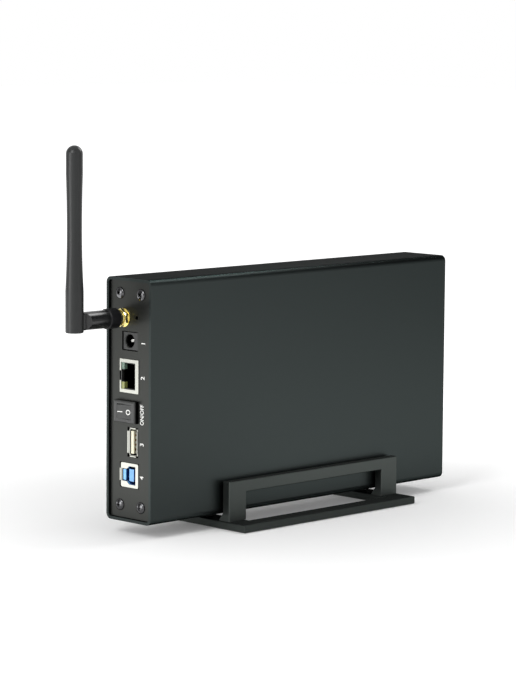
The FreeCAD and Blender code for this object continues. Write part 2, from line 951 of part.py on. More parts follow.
def drive_head_arm():
    """The head arm on its pivot: a thin tapered arm in each gap and a flat coil behind."""
    pivot = V(drive_rear + head_pivot_x, 0, middle_z + head_pivot_z)
    low = drive_low + drive_floor + hub_clearance
    high = platter_height(platter_count - 1) + platter_pitch / 2 + head_arm_thickness / 2
    shape = rod(V(pivot.x, low, pivot.z), V(pivot.x, high, pivot.z), head_pivot_radius)
    for k in range(platter_count + 1):
        y = platter_height(k) - platter_pitch / 2 - head_arm_thickness / 2
        if k == 0:
            y = platter_height(0) - platter_thickness / 2 - head_arm_thickness - head_gap
        arm = prism(
            [
                V(pivot.x, y, pivot.z - head_arm_root),
                V(pivot.x + head_arm_length, y, pivot.z - head_arm_tip),
                V(pivot.x + head_arm_length, y, pivot.z + head_arm_tip),
                V(pivot.x, y, pivot.z + head_arm_root),
            ],
            V(0, head_arm_thickness, 0),
        )
        shape = shape.fuse(arm)
    tail_y = platter_height(1) - head_coil_thickness / 2
    tail = prism(
        [
            V(pivot.x, tail_y, pivot.z - head_arm_root),
            V(pivot.x, tail_y, pivot.z + head_arm_root),
            V(pivot.x - head_tail_length, tail_y, pivot.z + head_tail_width / 2),
            V(pivot.x - head_tail_length, tail_y, pivot.z - head_tail_width / 2),
        ],
        V(0, head_coil_thickness, 0),
    )
    shape = shape.fuse(tail).removeSplitter()
    shape.rotate(pivot, V(0, -1, 0), head_parked_angle)
    return shape


def main_board():
    """The main circuit board, on edge beside the drive's end."""
    half = board_height / 2
    board = block((board_rear, board_front), (board_low, board_top), (middle_z - half, middle_z + half))
    for x, z in standoff_places():
        board = board.cut(rod(from_case(x, board_low - 1, z), from_case(x, board_top + 1, z),
                              screw_radius + thread_clearance))
    return board


def board_standoffs():
    """Four round standoffs between the tray and the main board."""
    posts = []
    for x, z in standoff_places():
        post = rod(from_case(x, tray_high, z), from_case(x, board_low, z), standoff_radius)
        bore = rod(from_case(x, tray_high + standoff_floor, z), from_case(x, board_low + 1, z),
                   screw_radius + thread_clearance)
        posts.append(post.cut(bore))
    return posts


def board_screws():
    """Four domed screws that hold the main board on its standoffs."""
    length = board_thickness + board_screw_bite
    return [pan_screw(from_case(x, board_top, z), V(0, 1, 0), screw_radius, length)
            for x, z in standoff_places()]


def board_chips():
    """The packages on the main board."""
    return [port_box(span(board_rear + x, along), board_top + tall / 2, tall, z, high)
            for x, z, along, high, tall in chips.values()]


def board_capacitors():
    """Upright capacitor cans on the main board."""
    return [rod(from_case(board_rear + x, board_top, z),
                from_case(board_rear + x, board_top + tall, z), radius)
            for x, z, radius, tall in cans.values()]


# Wireless card on the main board, with its shield and the aerial's lead

def wireless_module():
    """The small wireless card."""
    return block(card_x, (board_top, card_face), span(middle_z + card_z, card_height))


def wireless_shield():
    """The metal can over the wireless chips, which leaves the card's upper strip free."""
    low, high = span(middle_z + card_z, card_height)
    return block((card_x[0] + shield_inset, card_x[1] - shield_inset), (card_face, card_face + shield_height),
                 (low + shield_inset, high - shield_top_gap))


def aerial_lead():
    """The coaxial lead from the back of the aerial socket to its push-on plug on the card."""
    start = from_case(socket_back, aerial_y, aerial_z)
    foot = from_case(card_x[0] + lead_plug_inset, card_face, card_z + card_height / 2 - lead_plug_from_top)
    top = foot + V(0, lead_plug_height, 0)
    plug = rod(foot, top, lead_plug_radius)
    route = [
        start,
        start + V(lead_first_run, 0, 0),
        V(top.x - lead_swing[0], start.y, top.z + lead_swing[1]),
        V(top.x, start.y - lead_drop, top.z),
        top,
    ]
    return tube(route, lead_radius).fuse(plug)


# Aerial

def along_aerial(out):
    """A point on the axis of the arm, a given distance outwards from the panel's outside face."""
    return from_case(panel_outer - out, aerial_y, aerial_z)


def aerial_socket():
    """The threaded socket: a hexagonal flange inside the panel and a barrel through it."""
    body = hexagon(panel_inner, panel_inner + socket_flange, aerial_y, arm_z, nut_across_flats)
    body = body.fuse(rod(along_aerial(-panel_thickness), along_aerial(barrel_length), barrel_radius))
    body = body.fuse(rod(from_case(panel_inner, aerial_y, aerial_z),
                         from_case(socket_back, aerial_y, aerial_z), socket_tail_radius))
    bore_end = barrel_length - arm_neck_length - barrel_bore_floor
    body = body.cut(rod(along_aerial(bore_end), along_aerial(barrel_length + 1), barrel_bore))
    return body.removeSplitter()


def aerial_washer():
    """A thin washer on the outside of the panel."""
    ring = rod(along_aerial(0), along_aerial(washer_thickness), washer_radius)
    bore = rod(along_aerial(-1), along_aerial(washer_thickness + 1), barrel_radius + thread_clearance)
    return ring.cut(bore)


def aerial_nut():
    """The hexagonal nut that clamps the socket to the panel."""
    x1 = panel_outer - washer_thickness
    nut = hexagon(x1 - nut_thickness, x1, aerial_y, arm_z, nut_across_flats)
    corner = nut_across_flats / math.sqrt(3) + 0.01
    crown = lathe(
        [
            (0, 0),
            (0, corner),
            (nut_thickness - nut_chamfer, corner),
            (nut_thickness, nut_across_flats / 2 - nut_crown),
            (nut_thickness, 0),
        ],
        V(x1, aerial_y, arm_z),
        V(-1, 0, 0),
    )
    nut = nut.common(crown)
    return nut.cut(rod(along_aerial(-1), along_aerial(barrel_length), barrel_radius + thread_clearance))


def aerial_ferrule():
    """The brass threaded sleeve inside the collar, showing a little below it."""
    start = collar_from - ferrule_proud
    end = collar_from + collar_length - collar_lip
    sleeve = rod(along_aerial(start), along_aerial(end), ferrule_radius)
    return sleeve.cut(rod(along_aerial(start - 1), along_aerial(end + 1), barrel_radius + thread_clearance))


def aerial_collar():
    """The plastic collar that the aerial is screwed on by."""
    end = collar_from + collar_length
    profile = [
        (collar_from, ferrule_radius + thread_clearance),
        (collar_from, collar_radius - collar_low_edge),
        (collar_from + collar_low_edge, collar_radius),
        (end - collar_high_edge, collar_radius),
        (end, collar_radius - collar_high_edge),
        (end, arm_neck_radius + turning_gap),
        (end - collar_lip, arm_neck_radius + turning_gap),
        (end - collar_lip, ferrule_radius + thread_clearance),
    ]
    return lathe(profile, along_aerial(0), V(-1, 0, 0))


def tongue_outline(grow):
    """The side view of the elbow's tongue, as a solid over the arm's whole width."""
    reach = tongue_end_radius + grow
    low = blade_below_arm + elbow_gap
    high = blade_radius + elbow_gap
    wide = (elbow.y - arm_radius - 1, elbow.y + arm_radius + 1)
    disc = rod(V(elbow.x, wide[0], elbow.z), V(elbow.x, wide[1], elbow.z), reach)
    far = panel_outer
    neck = block((elbow.x, far), wide, (elbow.z - reach, elbow.z + reach))
    upper = block((elbow.x + high, far), wide, (elbow.z, elbow.z + arm_radius + 1))
    lower = block((elbow.x + low, far), wide, (elbow.z - arm_radius - 1, elbow.z))
    return disc.fuse([neck, upper, lower])


def aerial_arm():
    """The arm: a neck held in the socket, a plain barrel, and two flats down to a thin tongue."""
    start = collar_from + collar_length + turning_gap
    neck_start = barrel_length - arm_neck_length
    pivot_out = panel_outer - elbow.x
    profile = [
        (neck_start, 0),
        (neck_start, arm_neck_radius),
        (start, arm_neck_radius),
        (start, arm_radius),
        (pivot_out + tongue_end_radius + 1, arm_radius),
        (pivot_out + tongue_end_radius + 1, 0),
    ]
    whole = lathe(profile, along_aerial(0), V(-1, 0, 0))
    wedge_end = elbow.x + blade_below_arm + 2 * elbow_gap
    wedge_start = wedge_end + wedge_length
    outline_above = [
        V(panel_inner + 1, arm_radius + 1, 0),
        V(wedge_start, arm_radius + 1, 0),
        V(wedge_start, arm_radius, 0),
        V(wedge_end, tongue_half, 0),
        V(elbow.x - arm_radius - 1, tongue_half, 0),
    ]
    outline_below = [V(p.x, -p.y, 0) for p in reversed(outline_above)]
    plan = prism(outline_above + outline_below, V(0, 0, 2 * arm_radius + 2))
    plan.translate(V(0, elbow.y, elbow.z - arm_radius - 1))
    arm = whole.common(plan).common(tongue_outline(0))
    bore = rod(elbow - V(0, arm_radius, 0), elbow + V(0, arm_radius, 0),
               elbow_pin_radius + running_clearance)
    return arm.cut(bore)


def elbow_pin():
    """The pin across the elbow, held blind in the two cheeks of the blade."""
    return rod(elbow - V(0, elbow_pin_half, 0), elbow + V(0, elbow_pin_half, 0), elbow_pin_radius)


def waist_arc(end, end_radius):
    """A long arc in the blade's profile, level at the waist, that leads out to one end of it."""
    run = end - blade_waist_at
    rise = end_radius - blade_waist_radius
    bend = (run ** 2 + rise ** 2) / (2 * rise)
    half_angle = math.asin(run / bend) / 2
    middle = V(blade_waist_at + bend * math.sin(half_angle),
               blade_waist_radius + bend * (1 - math.cos(half_angle)), 0)
    return Part.Arc(V(blade_waist_at, blade_waist_radius, 0), middle, V(end, end_radius, 0))


def aerial_blade():
    """The blade with its waist and domed tip, slotted at the foot for the arm's tongue."""
    shoulder = blade_length - blade_top_radius
    lean = math.sqrt(0.5)
    foot = blade_foot_edge
    edges = [
        Part.LineSegment(V(0, 0, 0), V(0, blade_radius - foot, 0)),
        Part.LineSegment(V(0, blade_radius - foot, 0), V(foot, blade_radius, 0)),
        Part.LineSegment(V(foot, blade_radius, 0), V(blade_straight, blade_radius, 0)),
        waist_arc(blade_straight, blade_radius),
        waist_arc(blade_top_from, blade_top_radius),
        Part.LineSegment(V(blade_top_from, blade_top_radius, 0), V(shoulder, blade_top_radius, 0)),
        Part.Arc(V(shoulder, blade_top_radius, 0),
                 V(shoulder + blade_top_radius * lean, blade_top_radius * lean, 0),
                 V(blade_length, 0, 0)),
        Part.LineSegment(V(blade_length, 0, 0), V(0, 0, 0)),
    ]
    blade = turn([edge.toShape() for edge in edges], elbow - V(0, 0, blade_below_arm), V(0, 0, 1))
    reach = tongue_end_radius + slot_clearance
    half = tongue_half + slot_clearance
    beyond = blade_radius + 1
    below = blade_below_arm + 1
    slot = rod(elbow - V(0, half, 0), elbow + V(0, half, 0), reach)
    slot = slot.fuse(block((elbow.x, elbow.x + beyond), (elbow.y - half, elbow.y + half),
                           (elbow.z - below, elbow.z + reach)))
    slot = slot.fuse(block((elbow.x - reach, elbow.x + beyond), (elbow.y - half, elbow.y + half),
                           (elbow.z - below, elbow.z)))
    relief_y = (elbow.y - fork_relief_half, elbow.y + fork_relief_half)
    corner = block((elbow.x, elbow.x + beyond), relief_y, (elbow.z - below, elbow.z))
    keep = rod(elbow - V(0, fork_relief_half + 1, 0), elbow + V(0, fork_relief_half + 1, 0),
               fork_relief_radius)
    pin_reach = V(0, elbow_pin_half + fit_clearance, 0)
    pin_hole = rod(elbow - pin_reach, elbow + pin_reach, elbow_pin_radius + fit_clearance)
    return blade.cut(slot).cut(corner.cut(keep)).cut(pin_hole).removeSplitter()


# Network port

def network_mouth(x):
    """The plug opening with its narrower slot for the latch."""
    wide = block(x, (network_mouth_low, network_mouth_high), span(middle_z + network_z, network_mouth_height))
    slot = block(x, (network_mouth_low, latch_slot_high), span(middle_z + network_z, latch_slot_height))
    return wide.fuse(slot)


def network_light_pipes(margin=0.0):
    """Two light pipes: a lens in each corner beside the latch slot, and a thinner tail behind it."""
    face = port_front + shell_wall + moulding_clearance
    low = latch_slot_height / 2 + light_gap
    high = network_open_height / 2
    pipes = []
    for side in (-1, 1):
        middle = middle_z + network_z + side * (low + high) / 2
        lens = block((face - margin, face + light_face_depth + margin),
                     (network_mouth_high - margin, latch_slot_high + margin),
                     span(middle, high - low, margin))
        tail = block((face - margin, face + light_depth + margin),
                     (network_mouth_high + light_tail_inset - margin,
                      latch_slot_high - light_tail_inset + margin),
                     span(middle, high - low - 2 * light_tail_inset, margin))
        pipes.append(lens.fuse(tail).removeSplitter())
    return pipes


def network_shell():
    """The metal shell round the port, open at the front, with a notch where the latch snaps in."""
    back = port_front + network_depth
    shell = port_box((port_front, back), network_y, network_width, network_z, network_height)
    inside = port_box((port_front + shell_wall, back - shell_wall), network_y,
                      network_width - 2 * shell_wall, network_z, network_height - 2 * shell_wall)
    opening = block((port_front - 1, port_front + 2 * shell_wall), (network_mouth_low, latch_slot_high),
                    span(middle_z + network_z, network_open_height))
    edge = network_y + network_width / 2
    notch = block((port_front - 1, port_front + latch_notch_depth), (network_mouth_low, edge + 1),
                  span(middle_z + network_z, latch_notch_height))
    return shell.cut(inside).cut(opening).cut(notch)


def network_insert():
    """The plastic insert that guides the plug and holds the light pipes."""
    wall = shell_wall + moulding_clearance
    body = port_box((port_front + wall, port_front + network_depth - wall), network_y,
                    network_width - 2 * wall, network_z, network_height - 2 * wall)
    body = body.cut(network_mouth((port_front, port_front + network_cavity)))
    for pipe in network_light_pipes(moulding_clearance):
        body = body.cut(pipe)
    return body


def network_contact_wires():
    """Eight sprung contacts that slope up from the board side of the opening."""
    first = -(network_contacts - 1) / 2 * contact_pitch
    foot = V(port_front + contact_from, network_mouth_low, middle_z + network_z + first - contact_size / 2)
    run = V(contact_length, contact_rise, 0)
    across = V(contact_wire, 0, 0)
    wires = []
    for k in range(network_contacts):
        start = foot + V(0, 0, k * contact_pitch)
        corners = [start, start + across, start + across + run, start + run]
        wires.append(prism(corners, V(0, 0, contact_size)))
    return wires


# Power inlet

def inlet_middle():
    """Y of the middle of the round hole."""
    return inlet_y + inlet_above_middle


def power_inlet():
    """The moulded inlet with its round hole and a chamfered mouth, on a foot that meets the board."""
    back = inlet_front + inlet_depth
    body = port_box((inlet_front, back), inlet_y, inlet_width, inlet_z, inlet_height)
    foot = block((board_rear, back), (board_top + inlet_foot_gap, inlet_y),
                 span(middle_z + inlet_z, inlet_height))
    body = body.fuse(foot).removeSplitter()
    profile = [
        (-1, 0),
        (-1, inlet_bore + inlet_chamfer),
        (0, inlet_bore + inlet_chamfer),
        (inlet_chamfer, inlet_bore),
        (inlet_bore_depth, inlet_bore),
        (inlet_bore_depth, 0),
    ]
    hole = lathe(profile, from_case(inlet_front, inlet_middle(), inlet_z), V(1, 0, 0))
    return body.cut(hole)


def power_pin():
    """The centre pin of the inlet."""
    tip = from_case(inlet_front + inlet_bore_depth - inlet_pin_length, inlet_middle(), inlet_z)
    profile = [
        (0, 0),
        (0, inlet_pin_radius - inlet_pin_chamfer),
        (inlet_pin_chamfer, inlet_pin_radius),
        (inlet_pin_length, inlet_pin_radius),
        (inlet_pin_length, 0),
    ]
    return lathe(profile, tip, V(1, 0, 0))


# Rocker switch

def rocker_pivot():
    """A point on the rocker's pivot, which stands upright."""
    return from_case(panel_outer + rocker_pivot_depth, rocker_y, rocker_z)


def rocker_space(radius, half_height, back):
    """A drum about the pivot, cut off at the back."""
    centre = rocker_pivot()
    drum = Part.makeCylinder(radius, 2 * half_height, centre - V(0, 0, half_height))
    keep = block((centre.x - radius - 1, centre.x + back), (centre.y - radius - 1, centre.y + radius + 1),
                 (centre.z - half_height - 1, centre.z + half_height + 1))
    return drum.common(keep)


def rocker_frame():
    """The switch's bezel and body, with the well that the rocker tilts in."""
    bezel = port_box((panel_outer - bezel_proud, panel_outer), rocker_y, bezel_width, rocker_z, bezel_height)
    front_edges = [e for e in bezel.Edges
                   if all(abs(p.Point.x - panel_outer + bezel_proud) < 1e-6 for p in e.Vertexes)]
    bezel = bezel.makeFillet(bezel_edge, front_edges)
    body = port_box((panel_outer, panel_outer + rocker_body_depth), rocker_y, rocker_body_width,
                    rocker_z, rocker_body_height)
    swing = rocker_radius * math.sin(math.radians(rocker_tilt))
    well = rocker_space(rocker_radius + rocker_gap, rocker_height / 2 + rocker_gap,
                        rocker_back + swing + rocker_gap)
    centre = rocker_pivot()
    reach = rocker_height / 2 + rocker_pin_reach + rocker_gap
    socket = rod(centre - V(0, 0, reach), centre + V(0, 0, reach), rocker_pin_radius + running_clearance)
    return bezel.fuse(body).removeSplitter().cut(well).cut(socket)


def rocker_button():
    """The rocker, at rest with its off side pressed in."""
    centre = rocker_pivot()
    half = rocker_height / 2
    shape = rocker_space(rocker_radius, half, rocker_back)
    rise = rocker_radius * math.tan(math.radians(rocker_valley))
    front = centre.x - rocker_face
    far = centre.x - 2 * rocker_radius
    for side in (-1, 1):
        y = centre.y + side * rocker_radius
        wedge = prism(
            [
                V(front, centre.y, centre.z - half - 1),
                V(front - rise, y, centre.z - half - 1),
                V(far, y, centre.z - half - 1),
                V(far, centre.y, centre.z - half - 1),
            ],
            V(0, 0, 2 * half + 2),
        )
        shape = shape.cut(wedge)
    reach = half + rocker_pin_reach
    shape = shape.fuse(rod(centre - V(0, 0, reach), centre + V(0, 0, reach), rocker_pin_radius))
    shape = shape.removeSplitter()
    shape.rotate(centre, V(0, 0, 1), rocker_tilt)
    return shape


def rocker_terminal_places():
    """Y of the two terminals on the back of the switch."""
    return [rocker_y + side * terminal_spacing / 2 for side in (-1, 1)]


def rocker_terminals():
    """Two flat terminals on the back of the switch."""
    back = panel_outer + rocker_body_depth
    return [port_box((back, back + terminal_length), y, terminal_thickness, rocker_z, terminal_width)
            for y in rocker_terminal_places()]


def switch_leads():
    """Two short insulated wires from the terminals down to the main board."""
    back = panel_outer + rocker_body_depth + terminal_length
    leads = []
    for k, y in enumerate(rocker_terminal_places()):
        end_x = back + switch_lead_run + switch_lead_step * k
        route = [from_case(back, y, rocker_z), from_case(end_x, y, rocker_z),
                 from_case(end_x, board_top, rocker_z)]
        leads.append(tube(route, wire_radius))
    return leads


# Host port and device port

def funnel(x0, x1, y, z, grow):
    """A shape that widens from x1 out to x0 by an amount below Y, one above it, and one each way in Z."""
    below, above, rise = grow
    wide = outline(x0, (y[0] - below, y[1] + above), (z[0] - rise, z[1] + rise), shell_corner)
    narrow = outline(x1, y, z, shell_corner)
    return Part.makeLoft([wide, narrow], True, True)


def host_shell():
    """The flat socket's metal shell, whose mouth flares in four lips with a slit at each corner."""
    lip_end = port_front + lip_depth
    back = port_front + host_depth
    outer_y = span(host_y, host_width)
    outer_z = span(middle_z + host_z, host_height)
    inner_y_span = span(host_y, host_width, -shell_wall)
    inner_z_span = span(middle_z + host_z, host_height, -shell_wall)
    shell = bar((lip_end, back), outer_y, outer_z, shell_corner)
    shell = shell.fuse(funnel(port_front, lip_end, outer_y, outer_z, host_lip_reach))
    flare = funnel(port_front, lip_end, inner_y_span, inner_z_span, host_lip_reach)
    hollow = bar((lip_end, back - shell_wall), inner_y_span, inner_z_span, shell_corner)
    shell = shell.cut(flare.fuse(hollow))
    half_width = host_width / 2 - host_lip_corner[0]
    half_height = host_height / 2 - host_lip_corner[1]
    for sy in (-1, 1):
        for sz in (-1, 1):
            y = sorted((host_y + sy * half_width, host_y + sy * host_width))
            z = sorted((middle_z + host_z + sz * half_height, middle_z + host_z + sz * host_height))
            shell = shell.cut(block((port_front - 1, lip_end), y, z))
    return shell.removeSplitter()


def host_tongue():
    """The plastic tongue and the block it grows from, which fills the back of the shell."""
    back = port_front + host_depth - shell_wall
    inset = -shell_wall - moulding_clearance
    root = bar((back - tongue_root, back), span(host_y, host_width, inset),
               span(middle_z + host_z, host_height, inset), shell_corner - moulding_clearance)
    tongue = block((port_front + tongue_set_back, back - tongue_root),
                   (tongue_low, tongue_low + tongue_thickness), span(middle_z + host_z, tongue_height))
    return root.fuse(tongue).removeSplitter()


def host_contact_strips():
    """Four contact strips on the side of the tongue that faces the wider gap."""
    first = -(host_contacts - 1) / 2 * host_contact_pitch
    strip_x = (port_front + tongue_set_back + strip_set_back,
               port_front + host_depth - tongue_root - shell_wall)
    return [block(strip_x, (tongue_low - strip_thickness, tongue_low),
                  span(middle_z + host_z + first + k * host_contact_pitch, strip_width))
            for k in range(host_contacts)]


def device_mouth(x):
    """The square socket's opening: a wide part, two bevels, and a narrow part."""
    wide = wide_height / 2
    narrow = narrow_height / 2
    half = [(wide_part[0], wide), (wide_part[1], wide), (narrow_part[0], narrow), (narrow_part[1], narrow)]
    middle = middle_z + device_z
    points = [V(x[0], y, middle + z) for y, z in half]
    points += [V(x[0], y, middle - z) for y, z in reversed(half)]
    return prism(points, V(x[1] - x[0], 0, 0))


def device_shell():
    """The square socket's metal shell: a folded face with the stepped opening, and a flared tab."""
    back = port_front + device_depth
    shell = bar((port_front, back), span(device_y, device_width), span(middle_z + device_z, device_height),
                device_corner)
    hollow = bar((port_front + shell_wall, back - shell_wall), span(device_y, device_width, -shell_wall),
                 span(middle_z + device_z, device_height, -shell_wall), shell_corner)
    shell = shell.cut(hollow).cut(device_mouth((port_front - 1, port_front + 2 * shell_wall)))
    outside = device_y + device_width / 2
    inside = outside - shell_wall
    tab_z = span(middle_z + device_z, device_tab_height)
    slot = block((port_front - 1, port_front + lip_depth), (inside - 1, outside + 1), tab_z)
    tab = prism(
        [
            V(port_front + lip_depth, inside, tab_z[0]),
            V(port_front, inside + device_tab_reach, tab_z[0]),
            V(port_front, outside + device_tab_reach, tab_z[0]),
            V(port_front + lip_depth, outside, tab_z[0]),
        ],
        V(0, 0, device_tab_height),
    )
    return shell.cut(slot).fuse(tab).removeSplitter()


def device_insert():
    """The coloured insert behind the shell's face, with a tongue in each part of its opening."""
    face = port_front + shell_wall + moulding_clearance
    back = port_front + device_depth - shell_wall - moulding_clearance
    inset = -shell_wall - moulding_clearance
    body = bar((face, back), span(device_y, device_width, inset),
               span(middle_z + device_z, device_height, inset), shell_corner - moulding_clearance)
    root = port_front + device_cavity
    body = body.cut(device_mouth((face - 1, root)))
    tongues = (
        (wide_tongue, wide_tongue_height, wide_tongue_set_back),
        (narrow_tongue, narrow_tongue_height, narrow_tongue_set_back),
    )
    for y, height, set_back in tongues:
        body = body.fuse(block((face + set_back, root), y, span(middle_z + device_z, height)))
    return body.removeSplitter()


# Reset button behind its pinhole

def reset_switch():
    """The small switch on the board, with a bore for its plunger."""
    body = port_box((reset_rear, reset_rear + reset_body_depth), board_top + reset_body / 2, reset_body,
                    reset_z, reset_body_height)
    bore = rod(from_case(reset_rear - 1, reset_y, reset_z),
               from_case(reset_rear + reset_bore, reset_y, reset_z),
               reset_plunger_radius + running_clearance)
    return body.cut(bore)


def reset_plunger():
    """The plunger that a pin pushed through the panel presses."""
    end = reset_rear + reset_bore - reset_travel - reset_end_gap
    return rod(from_case(panel_inner + reset_gap, reset_y, reset_z), from_case(end, reset_y, reset_z),
               reset_plunger_radius)


# Status light board, carried on the tray's front tab

def status_board():
    """The small board behind the front window."""
    return port_box((tray_front, tray_front + status_board_thickness), 0, status_board_width,
                    light_height, status_board_height)


def status_light():
    """The light on that board, just behind the window."""
    start = tray_front + status_board_thickness
    end = front_inner - window_flange_thickness - status_light_gap
    return rod(from_case(start, 0, light_height), from_case(end, 0, light_height), status_light_radius)


NODES = {
    "stand_base": stand_base,
    "stand_upright_near": lambda: stand_upright(-1),
    "stand_upright_far": lambda: stand_upright(1),
    "stand_screws": stand_screws,
    "stand_feet": stand_feet,
    "stand_grips": stand_grips,
    "case_rests": case_rests,
    "case_sleeve": case_sleeve,
    "front_panel": front_panel,
    "front_screws": front_screws,
    "status_window": status_window,
    "rear_panel": rear_panel,
    "rear_screws": rear_screws,
    "drive_tray": drive_tray,
    "tray_screws": tray_screws,
    "drive_screws": drive_screws,
    "drive_housing": drive_housing,
    "drive_cover": drive_cover,
    "drive_board": drive_board,
    "drive_plug": drive_plug,
    "drive_socket": drive_socket,
    "drive_platters": drive_platters,
    "drive_head_arm": drive_head_arm,
    "main_board": main_board,
    "board_standoffs": board_standoffs,
    "board_screws": board_screws,
    "board_chips": board_chips,
    "board_capacitors": board_capacitors,
    "wireless_module": wireless_module,
    "wireless_shield": wireless_shield,
    "aerial_lead": aerial_lead,
    "aerial_socket": aerial_socket,
    "aerial_washer": aerial_washer,
    "aerial_nut": aerial_nut,
    "aerial_ferrule": aerial_ferrule,
    "aerial_collar": aerial_collar,
    "aerial_arm": aerial_arm,
    "elbow_pin": elbow_pin,
    "aerial_blade": aerial_blade,
    "network_shell": network_shell,
    "network_insert": network_insert,
    "network_contacts": network_contact_wires,
    "network_lights": network_light_pipes,
    "power_inlet": power_inlet,
    "power_pin": power_pin,
    "rocker_frame": rocker_frame,
    "rocker_button": rocker_button,
    "rocker_terminals": rocker_terminals,
    "switch_leads": switch_leads,
    "host_shell": host_shell,
    "host_tongue": host_tongue,
    "host_contacts": host_contact_strips,
    "device_shell": device_shell,
    "device_insert": device_insert,
    "reset_switch": reset_switch,
    "reset_plunger": reset_plunger,
    "status_board": status_board,
    "status_light": status_light,
}

os.makedirs("parts", exist_ok=True)
for name, make in NODES.items():
    made = make()
    shape = Part.makeCompound(made) if isinstance(made, list) else made
    solids = shape.Solids
    if not solids or not shape.isValid():
        raise ValueError(name + " is not a valid solid")
    shape.exportStep("parts/" + name + ".step")
    box = shape.BoundBox
    print("%-20s %d solid(s) %8.1f mm3  x %.1f..%.1f y %.1f..%.1f z %.1f..%.1f" % (
        name, len(solids), shape.Volume, box.XMin, box.XMax, box.YMin, box.YMax, box.ZMin, box.ZMax))
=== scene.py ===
# %% [markdown]
# A wireless media server is a slim black aluminium case that stands on edge in a low plastic stand.
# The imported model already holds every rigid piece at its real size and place.
# This lesson gives each piece its finish, adds the small things that only show up close, and sets a
# soft studio round it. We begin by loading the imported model, which from here on is a fixed frame.

# %% Load the frame
import json
import math
import random

import bmesh
import bpy
from mathutils import Matrix, Vector


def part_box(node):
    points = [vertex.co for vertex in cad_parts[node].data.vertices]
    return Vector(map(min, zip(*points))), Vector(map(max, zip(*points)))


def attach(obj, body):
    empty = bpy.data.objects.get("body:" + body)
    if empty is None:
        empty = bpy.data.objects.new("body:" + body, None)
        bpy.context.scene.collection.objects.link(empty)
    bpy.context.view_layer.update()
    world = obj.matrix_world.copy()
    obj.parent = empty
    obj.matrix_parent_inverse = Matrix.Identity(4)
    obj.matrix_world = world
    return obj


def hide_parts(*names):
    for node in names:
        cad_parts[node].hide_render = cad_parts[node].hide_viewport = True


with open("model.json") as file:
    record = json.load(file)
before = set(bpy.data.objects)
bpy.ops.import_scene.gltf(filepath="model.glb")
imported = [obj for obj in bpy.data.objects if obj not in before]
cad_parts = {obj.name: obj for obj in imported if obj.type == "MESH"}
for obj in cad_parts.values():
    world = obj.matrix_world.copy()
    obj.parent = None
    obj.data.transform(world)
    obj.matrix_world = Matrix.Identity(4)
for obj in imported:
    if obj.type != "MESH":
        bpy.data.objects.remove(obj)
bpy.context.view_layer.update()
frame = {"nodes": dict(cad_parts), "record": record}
MM = 0.001

# %% [markdown]
# Sizes come from the frame wherever they can, so that the looks follow the model. Two places serve
# the whole lesson: the outside plane of the port panel, which marks and fades are measured from,
# and the middle of the case, which the camera and the lamps aim at.

# %% Find the case and its port panel
case_low, case_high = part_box("case_sleeve")
case_middle = (case_low + case_high) / 2
middle_z = (case_low.z + case_high.z) / 2
panel_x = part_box("rear_panel")[0].x
print("port panel at x = %.1f mm, middle at z = %.1f mm" % (panel_x / MM, middle_z / MM))

# %% [markdown]
# The camera repeats the view of the photograph. It stands about 1.45 metres away with a long lens,
# a little above the case, and looks at the corner between the port panel and the near side.
# Its direction is given by an azimuth and an elevation, and it aims at a point beside the middle
# of the case. A slight roll matches the lean of the upright edges.

# %% Set the camera
CAMERA_AZIMUTH = math.radians(-44.985)
CAMERA_ELEVATION = math.radians(6.787)
CAMERA_ROLL = math.radians(0.408)
CAMERA_DISTANCE = 1449.78 * MM
CAMERA_LENS = 147.68
AIM_RIGHT = -12.759 * MM
AIM_UP = 19.157 * MM
scene = bpy.context.scene


def show(name, data):
    """Put a camera, lamp, mesh or text in the scene as an object."""
    made = bpy.data.objects.new(name, data)
    scene.collection.objects.link(made)
    return made


def place_camera():
    """Put the camera where the photograph was taken from."""
    back = Vector((
        math.sin(CAMERA_AZIMUTH) * math.cos(CAMERA_ELEVATION),
        -math.cos(CAMERA_AZIMUTH) * math.cos(CAMERA_ELEVATION),
        math.sin(CAMERA_ELEVATION),
    ))
    right = Vector((0, 0, 1)).cross(back).normalized()
    up = back.cross(right)
    aim = case_middle + right * AIM_RIGHT + up * AIM_UP
    rolled_right = right * math.cos(CAMERA_ROLL) + up * math.sin(CAMERA_ROLL)
    rolled_up = up * math.cos(CAMERA_ROLL) - right * math.sin(CAMERA_ROLL)
    data = bpy.data.cameras.new("photo_camera")
    data.sensor_width = 36.0
    data.lens = CAMERA_LENS
    data.clip_start = 0.05
    data.clip_end = 50.0
    camera = show("photo_camera", data)
    turn = Matrix((rolled_right, rolled_up, back)).transposed()
    camera.matrix_world = Matrix.Translation(aim + back * CAMERA_DISTANCE) @ turn.to_4x4()
    scene.camera = camera
    return camera


print("camera at", [round(c, 3) for c in place_camera().location])

# %% [markdown]
# A black object shows mostly what it reflects, so the light is a white room and large soft lamps.
# Whoever looks at the room, straight or by a reflection, sees plain white. What it sheds on the
# object is dimmer, and dimmest from overhead, which keeps the level tops as dark as they should be.
# The difference is told by the kind of ray, so the same switch serves the room and the floor.

# %% Build the white room
ROOM_LIGHT_LOW = 0.62
ROOM_LIGHT_HIGH = 0.4
WHITE = (1.0, 1.0, 1.0, 1.0)
scene.view_settings.view_transform = "Standard"


def feed(tree, target, inputs):
    """Give a node's inputs, by name or number, plain values or the sockets that feed them."""
    for name, value in inputs.items():
        if isinstance(value, bpy.types.NodeSocket):
            tree.links.new(value, target.inputs[name])
        else:
            target.inputs[name].default_value = value


def node(tree, kind, inputs=None, **settings):
    """Add a node of one kind, with its properties and its inputs."""
    made = tree.nodes.new(kind)
    for name, value in settings.items():
        setattr(made, name, value)
    feed(tree, made, inputs or {})
    return made


def math_node(tree, operation, first, second, clamp=False):
    """The result of a Math node on two sockets or plain numbers."""
    made = node(tree, "ShaderNodeMath", {0: first, 1: second}, operation=operation, use_clamp=clamp)
    return made.outputs[0]


